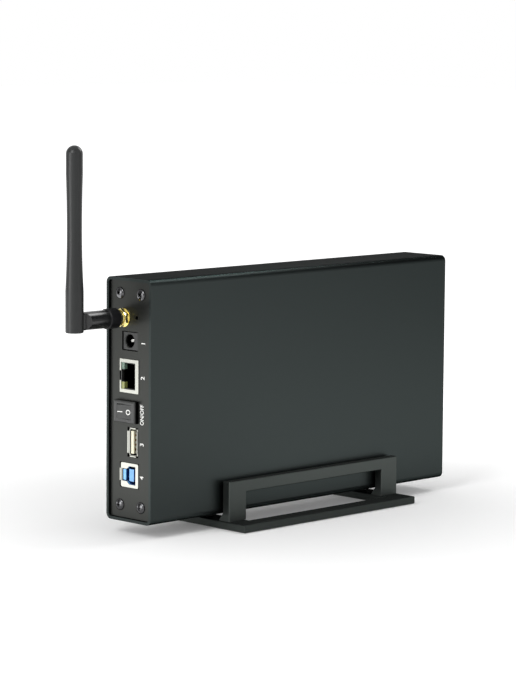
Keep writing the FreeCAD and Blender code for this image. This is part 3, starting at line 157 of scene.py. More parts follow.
def looked_at(tree):
    """1 on camera, glossy and transmission rays, and 0 where a surface is being lit."""
    path = node(tree, "ShaderNodeLightPath")
    direct = math_node(tree, "MAXIMUM", path.outputs["Is Camera Ray"], path.outputs["Is Glossy Ray"])
    return math_node(tree, "MAXIMUM", direct, path.outputs["Is Transmission Ray"])


def build_world():
    """A white room that lights the object less from overhead than from its walls."""
    world = bpy.data.worlds.new("white_room")
    scene.world = world
    world.use_nodes = True
    tree = world.node_tree
    direction = node(tree, "ShaderNodeTexCoord")
    split = node(tree, "ShaderNodeSeparateXYZ", {0: direction.outputs["Generated"]})
    height = node(tree, "ShaderNodeMapRange", {
        "Value": split.outputs["Z"], "To Min": ROOM_LIGHT_LOW, "To Max": ROOM_LIGHT_HIGH,
    })
    strength = node(tree, "ShaderNodeMix", {
        "Factor": looked_at(tree), 2: height.outputs["Result"], 3: 1.0,
    }, data_type="FLOAT")
    feed(tree, tree.nodes["Background"], {"Color": WHITE, "Strength": strength.outputs[0]})


build_world()
print("room lights from", ROOM_LIGHT_HIGH, "overhead to", ROOM_LIGHT_LOW, "at the walls")

# %% [markdown]
# Four soft lamps stand round the object. The one on the left lays the long highlight down the
# aerial and lights the port panel. The one above it catches the screw heads. The one in front lifts
# the near side a little. The one on the upper right lights the table, and no reflection shows it.
# The table below gives each lamp its place, its size, its power and whether reflections show it.

# %% Hang the lamps
LAMPS = {
    "soft_left": ((-1.1, 0.3, 0.12), 0.5, 4.8, True),
    "soft_high_left": ((-0.85, -0.2, 0.65), 0.4, 4.5, True),
    "soft_high_right": ((0.45, -0.12, 0.7), 0.25, 0.9, False),
    "soft_front": ((0.5, -1.1, 0.5), 0.6, 1.2, True),
}


def hang_lamp(name, place, size, power, mirrored):
    """A square soft lamp that points at the middle of the case."""
    data = bpy.data.lights.new(name, "AREA")
    data.size = size
    data.energy = power
    lamp = show(name, data)
    lamp.location = place
    lamp.rotation_mode = "QUATERNION"
    lamp.rotation_quaternion = (case_middle - Vector(place)).to_track_quat("-Z", "Y")
    lamp.visible_glossy = mirrored


for lamp_name, settings in LAMPS.items():
    hang_lamp(lamp_name, *settings)
print("lamps:", ", ".join(LAMPS))

# %% [markdown]
# A bmesh is where a shape is worked on, and a mesh is what an object shows, so the first helper
# writes a finished shape to a mesh. The others start a material, give the turn that points a shape
# in a direction, and move a whole shape at once.

# %% Make helpers for meshes and paint
def to_mesh(name, shape):
    """Write a finished shape to a new mesh, and let the shape go."""
    mesh = bpy.data.meshes.new(name)
    shape.to_mesh(mesh)
    shape.free()
    return mesh


def new_paint(name):
    """A new material, its node tree and its Principled surface."""
    material = bpy.data.materials.new(name)
    material.use_nodes = True
    return material, material.node_tree, material.node_tree.nodes["Principled BSDF"]


def turn_to(direction):
    """The turn that points the Z axis in a direction."""
    return Vector(direction).to_track_quat("Z", "Y").to_matrix().to_4x4()


def move(shape, placement):
    """Move a whole shape, and give it back."""
    bmesh.ops.transform(shape, matrix=placement, verts=shape.verts)
    return shape


print("the Z axis, pointed along X:", [round(c) for c in turn_to((1, 0, 0)) @ Vector((0, 0, 1))])

# %% [markdown]
# The floor is a wide white sheet that fades to plain white away from the object. Near the object it
# is an ordinary white surface, so it keeps the soft shadow. Further out a glow is added, which only
# a look at the floor can see, and which grows smoothly with the distance from the object.

# %% Lay the floor
FLOOR_SIZE = 12.0
FLOOR_WHITE = 0.92
FLOOR_ROUGHNESS = 0.8
GLOW_NEAR = 0.12
GLOW_FAR = 0.8
GLOW_FROM = 0.03
GLOW_TO = 0.45


def lay_floor():
    """A wide white floor at the height of the feet, with its glow."""
    shape = bmesh.new()
    bmesh.ops.create_grid(shape, x_segments=1, y_segments=1, size=FLOOR_SIZE / 2)
    floor = show("floor", to_mesh("floor", shape))
    paint, tree, surface = new_paint("floor_white")
    place = node(tree, "ShaderNodeTexCoord")
    away = node(tree, "ShaderNodeVectorMath", {0: place.outputs["Object"]}, operation="LENGTH")
    ramp = node(tree, "ShaderNodeMapRange", {
        "Value": away.outputs["Value"], "From Min": GLOW_FROM, "From Max": GLOW_TO,
        "To Min": GLOW_NEAR, "To Max": GLOW_FAR,
    }, interpolation_type="SMOOTHSTEP")
    feed(tree, surface, {
        "Base Color": (FLOOR_WHITE, FLOOR_WHITE, FLOOR_WHITE, 1.0), "Roughness": FLOOR_ROUGHNESS,
        "Specular IOR Level": 0.0, "Emission Color": WHITE,
        "Emission Strength": math_node(tree, "MULTIPLY", ramp.outputs["Result"], looked_at(tree)),
    })
    floor.data.materials.append(paint)


lay_floor()
print("floor laid, plain white from", GLOW_TO, "m out")

# %% [markdown]
# In the photograph both upright faces are darkest at the top and grow lighter towards the table.
# A satin face mirrors what stands opposite: its lower part sees the brightly lit table top, and its
# upper part sees what lies beyond. Sheets of light on the table and dim upright cards repeat this.
# A small bright card over the case draws the line of light along the near top edge, and a black one
# further out the dark line below it. Only reflections see them, so the table keeps its own shadow.
# Each has a middle, a direction to face, a width, a height and a light.

# %% Set up the sheets and cards
CARDS = {
    "sheet_left": ((-0.36, 0.24, 0.001), (0, 0, 1), 0.46, 0.46, 3.0),
    "sheet_right": ((0.34, -0.36, 0.001), (0, 0, 1), 0.60, 0.60, 1.85),
    "card_left": ((-0.40, 0.34, 0.28), (0.7, -0.7, 0), 0.36, 0.44, 0.30),
    "card_right": ((0.46, -0.46, 0.22), (-0.7, 0.7, 0), 0.60, 0.40, 0.60),
    "card_edge": ((0.064, -0.016, 0.293), (-0.70, 0.0, -0.72), 0.10, 0.10, 7.0),
    "card_shade": ((0.29, -0.18, 0.335), (-0.70, 0.40, -0.50), 0.42, 0.24, 0.0),
}


def hang_card(name, middle, facing, width, height, light):
    """A flat card in any direction, with an even glow, that only reflections see."""
    shape = bmesh.new()
    bmesh.ops.create_grid(shape, x_segments=1, y_segments=1, size=0.5)
    bmesh.ops.scale(shape, vec=(width, height, 1), verts=shape.verts)
    card = show(name, to_mesh(name, move(shape, Matrix.Translation(middle) @ turn_to(facing))))
    paint, tree, surface = new_paint(name + "_glow")
    feed(tree, surface, {
        "Base Color": (0.0, 0.0, 0.0, 1.0), "Specular IOR Level": 0.0,
        "Emission Color": WHITE, "Emission Strength": light,
    })
    card.data.materials.append(paint)
    card.visible_camera = False
    card.visible_diffuse = False
    card.visible_shadow = False


for card_name, settings in CARDS.items():
    hang_card(card_name, *settings)
print("sheets and cards:", ", ".join(CARDS))

# %% [markdown]
# Every finish here has a fine surface of its own: bead-blasted metal, moulded plastic, cast metal.
# They share one effect, a fine grain that changes the roughness a little and raises a shallow
# bump. It is a node group, built once, and each material sets its own scale and depth.

# %% Make the shared grain
SPECKLE_DETAIL = 3.0
PATCH_SCALE = 22.0
PATCH_DETAIL = 4.0
BUMP_HEIGHT = 0.02 * MM


def new_group(name, inputs, outputs):
    """An empty shader group with the given inputs, numbers or vectors, and its outputs."""
    group = bpy.data.node_groups.new(name, "ShaderNodeTree")
    for label, value in inputs.items():
        kind = "NodeSocketFloat" if isinstance(value, float) else "NodeSocketVector"
        socket = group.interface.new_socket(label, in_out="INPUT", socket_type=kind)
        socket.default_value = value
    for label, kind in outputs.items():
        group.interface.new_socket(label, in_out="OUTPUT", socket_type=kind)
    return group, node(group, "NodeGroupInput").outputs, node(group, "NodeGroupOutput")


def build_grain():
    """Grain: a fine speckle, and slow patches where a surface was handled."""
    group, given, result = new_group(
        "fine_grain",
        {"Scale": 900.0, "Depth": 0.2, "Roughness": 0.4, "Roughness Spread": 0.1, "Patches": 0.03},
        {"Roughness": "NodeSocketFloat", "Normal": "NodeSocketVector", "Shade": "NodeSocketFloat"},
    )
    place = node(group, "ShaderNodeTexCoord").outputs["Object"]
    speckle = node(group, "ShaderNodeTexNoise", {
        "Vector": place, "Scale": given["Scale"], "Detail": SPECKLE_DETAIL,
    }).outputs["Fac"]
    slow = node(group, "ShaderNodeTexNoise", {
        "Vector": place, "Scale": PATCH_SCALE, "Detail": PATCH_DETAIL,
    }).outputs["Fac"]

    def centred(noise, weight):
        """The noise about zero, times a weight."""
        return math_node(group, "MULTIPLY", math_node(group, "SUBTRACT", noise, 0.5), weight)

    both = math_node(group, "ADD", centred(speckle, given["Roughness Spread"]),
                     centred(slow, given["Patches"]))
    bump = node(group, "ShaderNodeBump", {
        "Distance": BUMP_HEIGHT, "Height": speckle, "Strength": given["Depth"],
    })
    feed(group, result, {
        "Roughness": math_node(group, "ADD", both, given["Roughness"], clamp=True),
        "Normal": bump.outputs["Normal"],
        "Shade": math_node(group, "ADD", both, 1.0),
    })
    return group


grain = build_grain()
print("grain group has", len(grain.nodes), "nodes")

# %% [markdown]
# The mouths of the sockets are pale and their depths are painted dark, as painted shade where little
# light reaches, and the two light pipes differ in their own colour from top to bottom. Both are one
# effect: a mask that fades along a direction through the object, from one place to another. Where it
# stands comes from the object's own coordinates.

# %% Make the shared fade
INWARD = (1.0, 0.0, 0.0)


def build_fade():
    """Fade: 0 before From and 1 after To, measured in metres along Direction."""
    group, given, result = new_group(
        "fade_along", {"Direction": INWARD, "From": 0.0, "To": MM}, {"Mask": "NodeSocketFloat"},
    )
    place = node(group, "ShaderNodeTexCoord").outputs["Object"]
    along = node(group, "ShaderNodeVectorMath", {0: place, 1: given["Direction"]},
                 operation="DOT_PRODUCT")
    ramp = node(group, "ShaderNodeMapRange", {
        "Value": along.outputs["Value"], "From Min": given["From"], "From Max": given["To"],
    }, interpolation_type="SMOOTHSTEP")
    feed(group, result, {"Mask": ramp.outputs["Result"]})
    return group


fade = build_fade()
print("fade group has", len(fade.nodes), "nodes")

# %% [markdown]
# A finish is a Principled surface whose roughness, bump and slight shading come from that grain.
# What is the same all over, such as metalness or the gloss of a lacquer, is set on the shader.
# A second colour, where a finish has one, comes in through the fade: a colour of its own, or painted
# shade in a deep place.

# %% Make a finish from the grain
COAT_ROUGHNESS = 0.25


def finish(name, colour, metallic=0.0, roughness=0.4, scale=900.0, depth=0.2, spread=0.1,
           patches=0.05, coat=0.0, specular=0.5, edge=1.0, second=None, shade_gloss=False):
    """A material with the shared grain.

    edge is how bright a metal's rim shines, seen at a low angle. second is (colour, direction, from,
    to) for a fade to another colour, its own or painted shade, and dull lets the gloss of a plastic go
    out with it, as painted shade in a deep hole.
    """
    material, tree, surface = new_paint(name)
    texture = node(tree, "ShaderNodeGroup", {
        "Scale": scale, "Depth": depth, "Roughness": roughness, "Roughness Spread": spread,
        "Patches": patches,
    }, node_tree=grain)
    base, shine = colour, metallic
    if second:
        second_colour, direction, start, end = second
        mask = node(tree, "ShaderNodeGroup", {
            "Direction": direction, "From": start, "To": end,
        }, node_tree=fade).outputs["Mask"]
        base = node(tree, "ShaderNodeMix", {
            "Factor": mask, 6: (*colour, 1.0), 7: (*second_colour, 1.0),
        }, data_type="RGBA").outputs[2]
        if shade_gloss:
            shine = mask
    tint = node(tree, "ShaderNodeVectorMath", {0: base, "Scale": texture.outputs["Shade"]},
                operation="SCALE")
    feed(tree, surface, {
        "Base Color": tint.outputs[0], "Metallic": shine,
        "Roughness": texture.outputs["Roughness"], "Normal": texture.outputs["Normal"],
        "Specular IOR Level": specular, "Specular Tint": (edge, edge, edge, 1.0),
        "Coat Weight": coat, "Coat Roughness": COAT_ROUGHNESS,
    })
    return material


def painted_depth_shade(colour, start, end):
    """Painted shade: a fade to a dark colour between two depths behind the panel's outer face, given in
    mm.
    """
    return colour, INWARD, panel_x + start * MM, panel_x + end * MM


trial = finish("trial", (0.5, 0.5, 0.5))
print("a finish has", len(trial.node_tree.nodes), "nodes and", len(trial.node_tree.links), "links")
bpy.data.materials.remove(trial)

# %% [markdown]
# The outside is black in several ways. The anodised case, the panel and the stand are satin and act
# as very dark metals, which mirror the room evenly and go dark at low angles. The aerial, the switch
# and the inlet are plain plastics with a soft gloss, and what goes deep into the panel is painted
# fading to black, as shade. The panels' screws are plated black and stay shiny.

# %% Mix the finishes of the outside
case_black = finish("case_black", (0.04, 0.047, 0.046), metallic=1.0, edge=0.02, roughness=0.4,
                    scale=1500.0, depth=0.3)
panel_black = finish("panel_black", (0.046, 0.0475, 0.045), metallic=1.0, edge=0.04, roughness=0.4,
                     scale=1500.0, depth=0.3)
stand_black = finish("stand_black", (0.07, 0.078, 0.074), metallic=1.0, edge=0.0, roughness=0.5,
                     scale=700.0, depth=0.3)
# The base is the same plastic as the uprights, painted darker all over as shade for its tops, which get
# little light from above.
stand_base_painted_darker = finish("stand_base_painted_darker", (0.052, 0.058, 0.055), metallic=1.0, edge=0.0, roughness=0.5,
                    scale=700.0, depth=0.3)
aerial_black = finish("aerial_black", (0.012, 0.013, 0.013), roughness=0.38, specular=0.34,
                      scale=1100.0, depth=0.25)
arm_black = finish("arm_black", (0.008, 0.0085, 0.009), roughness=0.22, specular=0.42, depth=0.15)
collar_black = finish("collar_black", (0.006, 0.006, 0.007), roughness=0.42, specular=0.22, depth=0.2)
port_black = finish("port_black", (0.022, 0.023, 0.022), roughness=0.38, specular=0.36, depth=0.2,
                    second=painted_depth_shade((0.002, 0.002, 0.002), 0.8, 2.6), shade_gloss=True)
frame_black = finish("frame_black", (0.026, 0.027, 0.026), roughness=0.38, specular=0.4, depth=0.2,
                     second=painted_depth_shade((0.002, 0.002, 0.002), -2.2, -1.2), shade_gloss=True)
rubber = finish("rubber", (0.02, 0.02, 0.02), roughness=0.75, scale=500.0, depth=0.3)
black_nickel = finish("black_nickel", (0.085, 0.085, 0.088), metallic=1.0, roughness=0.16, depth=0.1)
# Painted shade: the inside of every screw's cross recess is near-black.
recess_painted_shade = finish("recess_painted_shade", (0.006, 0.006, 0.006), metallic=1.0, edge=0.1, roughness=0.6)
mark_white = finish("mark_white", (0.86, 0.86, 0.83), roughness=0.5, depth=0.05)
print("materials so far:", len(bpy.data.materials))

# %% [markdown]
# The sockets are what catches the eye on the panel: nickel shells, a cream and a blue insert, and
# the gold of the aerial's socket. Shells, pin and inserts are painted darker with their depth behind
# the panel, as painted shade. The light pipes are one node with two colours of their own, parted
# halfway up.

# %% Mix the finishes of the sockets
UPWARD = (0.0, 0.0, 1.0)
lights_low, lights_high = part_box("network_lights")
lights_middle = (lights_low.z + lights_high.z) / 2
nickel = finish("nickel", (0.38, 0.385, 0.35), metallic=1.0, roughness=0.3, depth=0.1,
                second=painted_depth_shade((0.02, 0.02, 0.018), 0.0, 0.9))
pin_nickel = finish("pin_nickel", (0.42, 0.42, 0.4), metallic=1.0, roughness=0.2, depth=0.05,
                    second=painted_depth_shade((0.06, 0.06, 0.06), 2.4, 3.4))
cream = finish("cream", (0.78, 0.75, 0.56), roughness=0.35, depth=0.1,
               second=painted_depth_shade((0.1, 0.09, 0.06), 1.5, 8.0))
port_blue = finish("port_blue", (0.2, 0.52, 0.95), roughness=0.3, depth=0.1,
                   second=painted_depth_shade((0.003, 0.03, 0.17), 0.45, 0.95))
gold = finish("gold", (0.84, 0.74, 0.36), metallic=1.0, roughness=0.24, depth=0.1)
contact_gold = finish("contact_gold", (0.5, 0.3, 0.12), metallic=1.0, roughness=0.3, depth=0.1)
lens = finish("lens", (0.6, 0.7, 0.45), roughness=0.15, depth=0.05)
pipe_lens = finish("pipe_lens", (0.25, 0.27, 0.08), roughness=0.2, depth=0.05,
                   second=((0.13, 0.21, 0.16), UPWARD, lights_middle - MM, lights_middle + MM))
print("materials so far:", len(bpy.data.materials))

# %% [markdown]
# Inside, the drive is cast, pressed and machined metal, and the tray is plated sheet steel with
# the broad, cloudy patches that plating has. The board's lacquer gets its gloss from a clear coat.

# %% Mix the finishes of the inside
zinc = finish("zinc", (0.62, 0.63, 0.64), metallic=1.0, roughness=0.3, depth=0.15)
sheet_steel = finish("sheet_steel", (0.4, 0.41, 0.42), metallic=1.0, roughness=0.36, scale=300.0,
                     depth=0.2, spread=0.2, patches=0.6)
casting = finish("casting", (0.12, 0.12, 0.125), metallic=0.6, roughness=0.55, scale=350.0, depth=0.7)
platter = finish("platter", (0.82, 0.83, 0.85), metallic=1.0, roughness=0.06, depth=0.0, spread=0.02)
machined = finish("machined", (0.72, 0.72, 0.73), metallic=1.0, roughness=0.28, depth=0.1)
board_green = finish("board_green", (0.012, 0.1, 0.045), roughness=0.3, scale=400.0, depth=0.15,
                     coat=0.4)
tin = finish("tin", (0.55, 0.55, 0.54), metallic=1.0, roughness=0.3)
part_brown = finish("part_brown", (0.32, 0.24, 0.16), roughness=0.5, scale=700.0)
chip_black = finish("chip_black", (0.03, 0.03, 0.032), roughness=0.55, scale=600.0, depth=0.3)
lead_black = finish("lead_black", (0.018, 0.018, 0.018), roughness=0.5, depth=0.15)
print("materials in all:", len(bpy.data.materials))

# %% [markdown]
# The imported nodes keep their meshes. Each one takes the finish of the slot that the record gives
# it, or one of its own, by assigning to the object's own material slot.

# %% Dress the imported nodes
FINISH_OF = {
    "case_aluminium": case_black,
    "stand_plastic": stand_black,
    "soft_rubber": rubber,
    "dark_screw": black_nickel,
    "plain_screw": zinc,
    "sheet_steel": sheet_steel,
    "drive_casting": casting,
    "platter": platter,
    "arm_metal": machined,
    "port_metal": nickel,
    "port_black": port_black,
    "port_cream": cream,
    "port_blue": port_blue,
    "gold": gold,
    "aerial_plastic": aerial_black,
    "pin_steel": zinc,
    "board_green": board_green,
    "chip_black": chip_black,
    "capacitor": machined,
    "lead_black": lead_black,
    "light_lens": lens,
}
FINISH_OF_NODE = {
    "rear_panel": panel_black,
    "stand_base": stand_base_painted_darker,
    "aerial_arm": arm_black,
    "aerial_collar": collar_black,
    "power_pin": pin_nickel,
    "rocker_frame": frame_black,
    "host_contacts": contact_gold,
    "network_lights": pipe_lens,
}
slot_of = {part["node"]: part["material_slot"] for part in frame["record"]["subparts"]}


def dress(piece, material):
    """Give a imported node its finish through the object's slot."""
    if not piece.material_slots:
        piece.data.materials.append(material)
    for place in piece.material_slots:
        place.link = "OBJECT"
        place.material = material


for name, piece in frame["nodes"].items():
    dress(piece, FINISH_OF_NODE.get(name, FINISH_OF[slot_of[name]]))
print("dressed", len(frame["nodes"]), "nodes")

# %% [markdown]
# Small things are left to this lesson: the cross in a screw head, its thread, the printed marks.
# A helper turns a finished shape into a piece that rides on the same body as the node it belongs
# to, and shades it smooth up to an angle. A second one puts such a piece in the place of a node.

# %% Make helpers for new pieces
SMOOTH_ANGLE = math.radians(32)
bodies = frame["record"]["behaviour"]["bodies"]
body_of = {name: body for body, names in bodies.items() for name in names}


def add_piece(name, shape, body, slot, *materials):
    """A finished shape as an object that rides on a body, smooth across shallow angles."""
    mesh = to_mesh(name, shape)
    for material in materials:
        mesh.materials.append(material)
    mesh.shade_smooth()
    mesh.set_sharp_from_angle(angle=SMOOTH_ANGLE)
    piece = show(name, mesh)
    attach(piece, body)
    return piece


def stand_in(name, shape, node_name, *materials):
    """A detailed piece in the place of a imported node."""
    piece = add_piece(name, shape, body_of[node_name], slot_of[node_name], *materials)
    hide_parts(node_name)


# %% [markdown]
# Each new shape begins as a short outline that is spun or extruded. It ends with its doubles merged
# and its faces turned outwards, because a full spin leaves a seam and can turn a shape inside out.
# Copies are poured into a shape that is being built, and the Boolean modifier cuts one by another.

# %% Make helpers for shapes
MERGE_DISTANCE = 0.001 * MM


def clean(shape):
    """Merge doubles, then point every face outwards."""
    bmesh.ops.remove_doubles(shape, verts=shape.verts, dist=MERGE_DISTANCE)
    bmesh.ops.recalc_face_normals(shape, faces=shape.faces)
    return shape


def pushed(extrusion):
    """The vertices that an extrude operator made."""
    return [item for item in extrusion["geom"] if isinstance(item, bmesh.types.BMVert)]


def draw_line(shape, points):
    """A line of edges through points, given in mm, for an operator to sweep."""
    verts = [shape.verts.new([part * MM for part in point]) for point in points]
    return verts, [shape.edges.new(pair) for pair in zip(verts, verts[1:])]


def lathe(outline, steps):
    """Spin an outline of (radius, height) points in mm about Z."""
    shape = bmesh.new()
    verts, edges = draw_line(shape, [(radius, 0, height) for radius, height in outline])
    bmesh.ops.spin(shape, geom=verts + edges, cent=(0, 0, 0), axis=(0, 0, 1), angle=math.tau,
                   steps=steps, use_merge=True)
    return clean(shape)


def pour(shape, mesh, placement):
    """Add a copy of a mesh to a shape, at its place."""
    done = len(shape.verts)
    shape.from_mesh(mesh)
    bmesh.ops.transform(shape, matrix=placement, verts=list(shape.verts)[done:])


def pour_shape(shape, part, placement=Matrix()):
    """Add another shape to a shape, at its place, and let it go."""
    mesh = to_mesh("part", part)
    pour(shape, mesh, placement)
    bpy.data.meshes.remove(mesh)


def about_z(degrees):
    """A turn about the Z axis."""
    return Matrix.Rotation(math.radians(degrees), 4, "Z")


def combine(shape, tool, operation):
    """Cut, join or intersect two shapes with the Boolean modifier."""
    base, other = (show("part", to_mesh("part", part)) for part in (shape, tool))
    modifier = base.modifiers.new("combine", "BOOLEAN")
    modifier.operation = operation
    modifier.solver = "EXACT"
    modifier.object = other
    graph = bpy.context.evaluated_depsgraph_get()
    made = bpy.data.meshes.new_from_object(base.evaluated_get(graph))
    result = bmesh.new()
    result.from_mesh(made)
    spent = (base.data, other.data, made)
    for part in (base, other):
        bpy.data.objects.remove(part)
    for mesh in spent:
        bpy.data.meshes.remove(mesh)
    return result


trial = lathe([(0, 0), (1, 0), (1, 1), (0, 1)], 24)
print("a spun disc has", len(trial.faces), "faces and", len(trial.verts), "vertices")
trial.free()

# %% [markdown]
# A screw thread is one V-shaped outline that climbs as it turns. The spin operator does this by
# itself: it takes a small shift for each step beside the turn. Neighbouring turns meet at the root,
# so their doubles merge into one unbroken ridge, which two cuts make flat at its ends.

# %% Wind a thread
THREAD_STEPS = 16
THREAD_DEPTH = 0.3
ON_PLANE = 0.0001 * MM


def wind_thread(crest, pitch, length):
    """A solid threaded rod along Z from 0 down to -length, in mm."""
    turns = math.ceil(length / pitch) + 2
    root = crest - THREAD_DEPTH
    shape = bmesh.new()
    verts, edges = draw_line(shape, [(root, 0, 0), (crest, 0, pitch / 2), (root, 0, pitch)])
    bmesh.ops.spin(shape, geom=verts + edges, cent=(0, 0, 0), axis=(0, 0, 1), angle=math.tau * turns,
                   steps=THREAD_STEPS * turns, dvec=(0, 0, pitch / THREAD_STEPS * MM))
    bmesh.ops.remove_doubles(shape, verts=shape.verts, dist=MERGE_DISTANCE)
    bmesh.ops.translate(shape, vec=(0, 0, -(length + pitch) * MM), verts=shape.verts)
    for height, side in ((0, 1), (-length, -1)):
        whole = list(shape.verts) + list(shape.edges) + list(shape.faces)
        bmesh.ops.bisect_plane(shape, geom=whole, plane_co=(0, 0, height * MM), plane_no=(0, 0, side),
                               clear_outer=True)
        rim = [edge for edge in shape.edges if edge.is_boundary
               and all(abs(vert.co.z - height * MM) < ON_PLANE for vert in edge.verts)]
        bmesh.ops.holes_fill(shape, edges=rim)
    return clean(shape)


trial = wind_thread(1.45, 0.5, 4.0)
print("4 mm of thread:", len(trial.faces), "faces,",
      sum(edge.is_boundary for edge in trial.edges), "open edges")
trial.free()

# %% [markdown]
# Two kinds of screw hold the real enclosure: domed ones through the end panels and the board, and
# countersunk ones in the stand, the tray and the drive. A head is turned from its outline. Its cross
# recess is cut by two tapered blades, and what lies inside the cut is painted near-black, as shade.

# %% Shape the screw heads
HEAD_RADIUS = {"domed": 2.9, "flush": 2.6}
HEAD_HEIGHT = {"domed": 1.5, "flush": 1.1}
HEAD_STEPS = 40
DOME_STEPS = 8
DOME_RISE = 1.2
FLUSH_RIM = 0.1
FLUSH_NECK = 1.2
RECESS_LENGTH = 3.4
RECESS_WIDTH = 0.95
RECESS_DEPTH = 1.15
RECESS_FOOT = (0.35, 0.55, 1.0)
SHADE_TOP = 0.3
SHADE_FOOT = RECESS_DEPTH * 1.01


def recess_blade():
    """A tapered blade, wide at the top of the head and narrow below."""
    blade = bmesh.new()
    bmesh.ops.create_cube(blade, size=1.0)
    size = [span * MM for span in (RECESS_LENGTH, RECESS_WIDTH, 2 * RECESS_DEPTH)]
    bmesh.ops.scale(blade, vec=size, verts=blade.verts)
    low = [vert for vert in blade.verts if vert.co.z < 0]
    bmesh.ops.scale(blade, vec=RECESS_FOOT, verts=low)
    return blade


def make_head(kind):
    """The head of a screw, with its top at height 0 and its cross recess cut."""
    radius, height = HEAD_RADIUS[kind], HEAD_HEIGHT[kind]
    if kind == "domed":
        angles = [math.radians(90 * count / DOME_STEPS) for count in range(DOME_STEPS + 1)]
        outline = [(radius * math.sin(angle), DOME_RISE * (math.cos(angle) - 1)) for angle in angles]
        outline += [(radius, -height)]
    else:
        outline = [(0.0, 0.0), (radius - FLUSH_RIM, 0.0), (radius, -FLUSH_RIM), (FLUSH_NECK, -height)]
    head = lathe(outline + [(0.0, -height)], HEAD_STEPS)
    for angle in (0, 90):
        head = combine(head, move(recess_blade(), about_z(angle)), "DIFFERENCE")
    # Faces inside the cut take the second material, painted shade.
    for face in head.faces:
        middle = face.calc_center_median()
        inner = math.hypot(middle.x, middle.y) < RECESS_LENGTH / 2 * MM
        cut = -SHADE_FOOT * MM < middle.z < -SHADE_TOP * MM
        face.material_index = int(inner and cut)
    return head


trial = make_head("domed")
print("domed head:", len(trial.faces), "faces,",
      sum(face.material_index for face in trial.faces), "of them in the cut")
trial.free()

# %% [markdown]
# For each node of screws, one screw is made from a head and a rod of thread. Copies of it go to the
# corners of the node's box, each turned a little further, as hand-driven screws are.

# %% Drive the screws
SCREW_PITCH = 0.5
HEAD_GAP = 0.02
FIRST_TURN = 12.0
TURN_STEP = 37.0
SCREWS = {
    "rear_screws": ("domed", 1.45, (-1, 0, 0), black_nickel),
    "front_screws": ("domed", 1.45, (1, 0, 0), black_nickel),
    "board_screws": ("domed", 1.45, (0, 1, 0), zinc),
    "stand_screws": ("flush", 1.40, (0, 0, -1), zinc),
    "tray_screws": ("flush", 1.45, (0, -1, 0), zinc),
    "drive_screws": ("flush", 1.45, (0, -1, 0), zinc),
}


def make_screw(kind, shank_radius, length):
    """One screw along Z with the top of its head at height 0, as a mesh."""
    seat = HEAD_HEIGHT[kind] - HEAD_GAP
    screw = make_head(kind)
    rod = wind_thread(shank_radius, SCREW_PITCH, length - seat)
    pour_shape(screw, rod, Matrix.Translation((0, 0, -seat * MM)))
    return to_mesh("screw", screw)


def screw_places(name, axis, head_radius):
    """Where the tops of a node's screws are, from the corners of its box, and their length."""
    low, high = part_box(name)
    along = [k for k in range(3) if axis[k]][0]
    reach = head_radius * MM
    places = set()
    for corner in ((0, 0), (0, 1), (1, 0), (1, 1)):
        place = [0.0, 0.0, 0.0]
        place[along] = high[along] if axis[along] > 0 else low[along]
        for k, end in zip([k for k in range(3) if k != along], corner):
            place[k] = round(high[k] - reach if end else low[k] + reach, 6)
        places.add(tuple(place))
    return sorted(places), (high[along] - low[along]) / MM


def drive_screws_of(name):
    """Replace a node of screws by threaded ones with cross recesses."""
    kind, shank_radius, axis, material = SCREWS[name]
    places, length = screw_places(name, axis, HEAD_RADIUS[kind])
    screw = make_screw(kind, shank_radius, length)
    group = bmesh.new()
    for count, place in enumerate(places):
        turn = about_z(FIRST_TURN + count * TURN_STEP)
        pour(group, screw, Matrix.Translation(place) @ turn_to(axis) @ turn)
    bpy.data.meshes.remove(screw)
    stand_in(name + "_threaded", group, name, material, recess_painted_shade)
    return len(places)


print("screws driven:", {name: drive_screws_of(name) for name in SCREWS})

# %% [markdown]
# The aerial screws onto a gold socket that a hexagonal nut clamps to the panel. A bought nut has its
# corners turned off on both sides, which leaves the bright rings that a plain prism lacks. The hex
# comes from a six-sided disc, and a turned blank, intersected with it, rounds the corners.

# %% Cut the nut and the socket's thread
NUT_FLATS = 8.0
NUT_CHAMFER = 0.55
NUT_BORE = 3.25
NUT_STEPS = 64
BLANK_MARGIN = 0.05
BLANK_PROUD = 0.01
SOCKET_PITCH = 0.7
SOCKET_CREST = 3.3
nut_low, nut_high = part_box("aerial_nut")
ferrule_low, ferrule_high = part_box("aerial_ferrule")
nut_height = (nut_high.x - nut_low.x) / MM


def out_of_panel(x):
    """A place on the aerial's axis at x, from where Z points away from the panel."""
    middle = (ferrule_low + ferrule_high) / 2
    return Matrix.Translation((x, middle.y, middle.z)) @ turn_to((-1, 0, 0))


def make_nut(height):
    """A hexagonal nut with turned corners on both sides and a bore, along Z from 0."""
    corner = NUT_FLATS / math.sqrt(3)
    hexagon = bmesh.new()
    bmesh.ops.create_circle(hexagon, cap_ends=True, segments=6, radius=corner * MM)
    top = pushed(bmesh.ops.extrude_face_region(hexagon, geom=hexagon.faces[:]))
    bmesh.ops.translate(hexagon, vec=(0, 0, height * MM), verts=top)
    flat = NUT_FLATS / 2 - BLANK_MARGIN
    wide = corner + BLANK_MARGIN
    blank = lathe([(NUT_BORE, -BLANK_PROUD), (flat, -BLANK_PROUD), (wide, NUT_CHAMFER),
                   (wide, height - NUT_CHAMFER), (flat, height + BLANK_PROUD),
                   (NUT_BORE, height + BLANK_PROUD), (NUT_BORE, -BLANK_PROUD)], NUT_STEPS)
    return combine(clean(hexagon), blank, "INTERSECT")


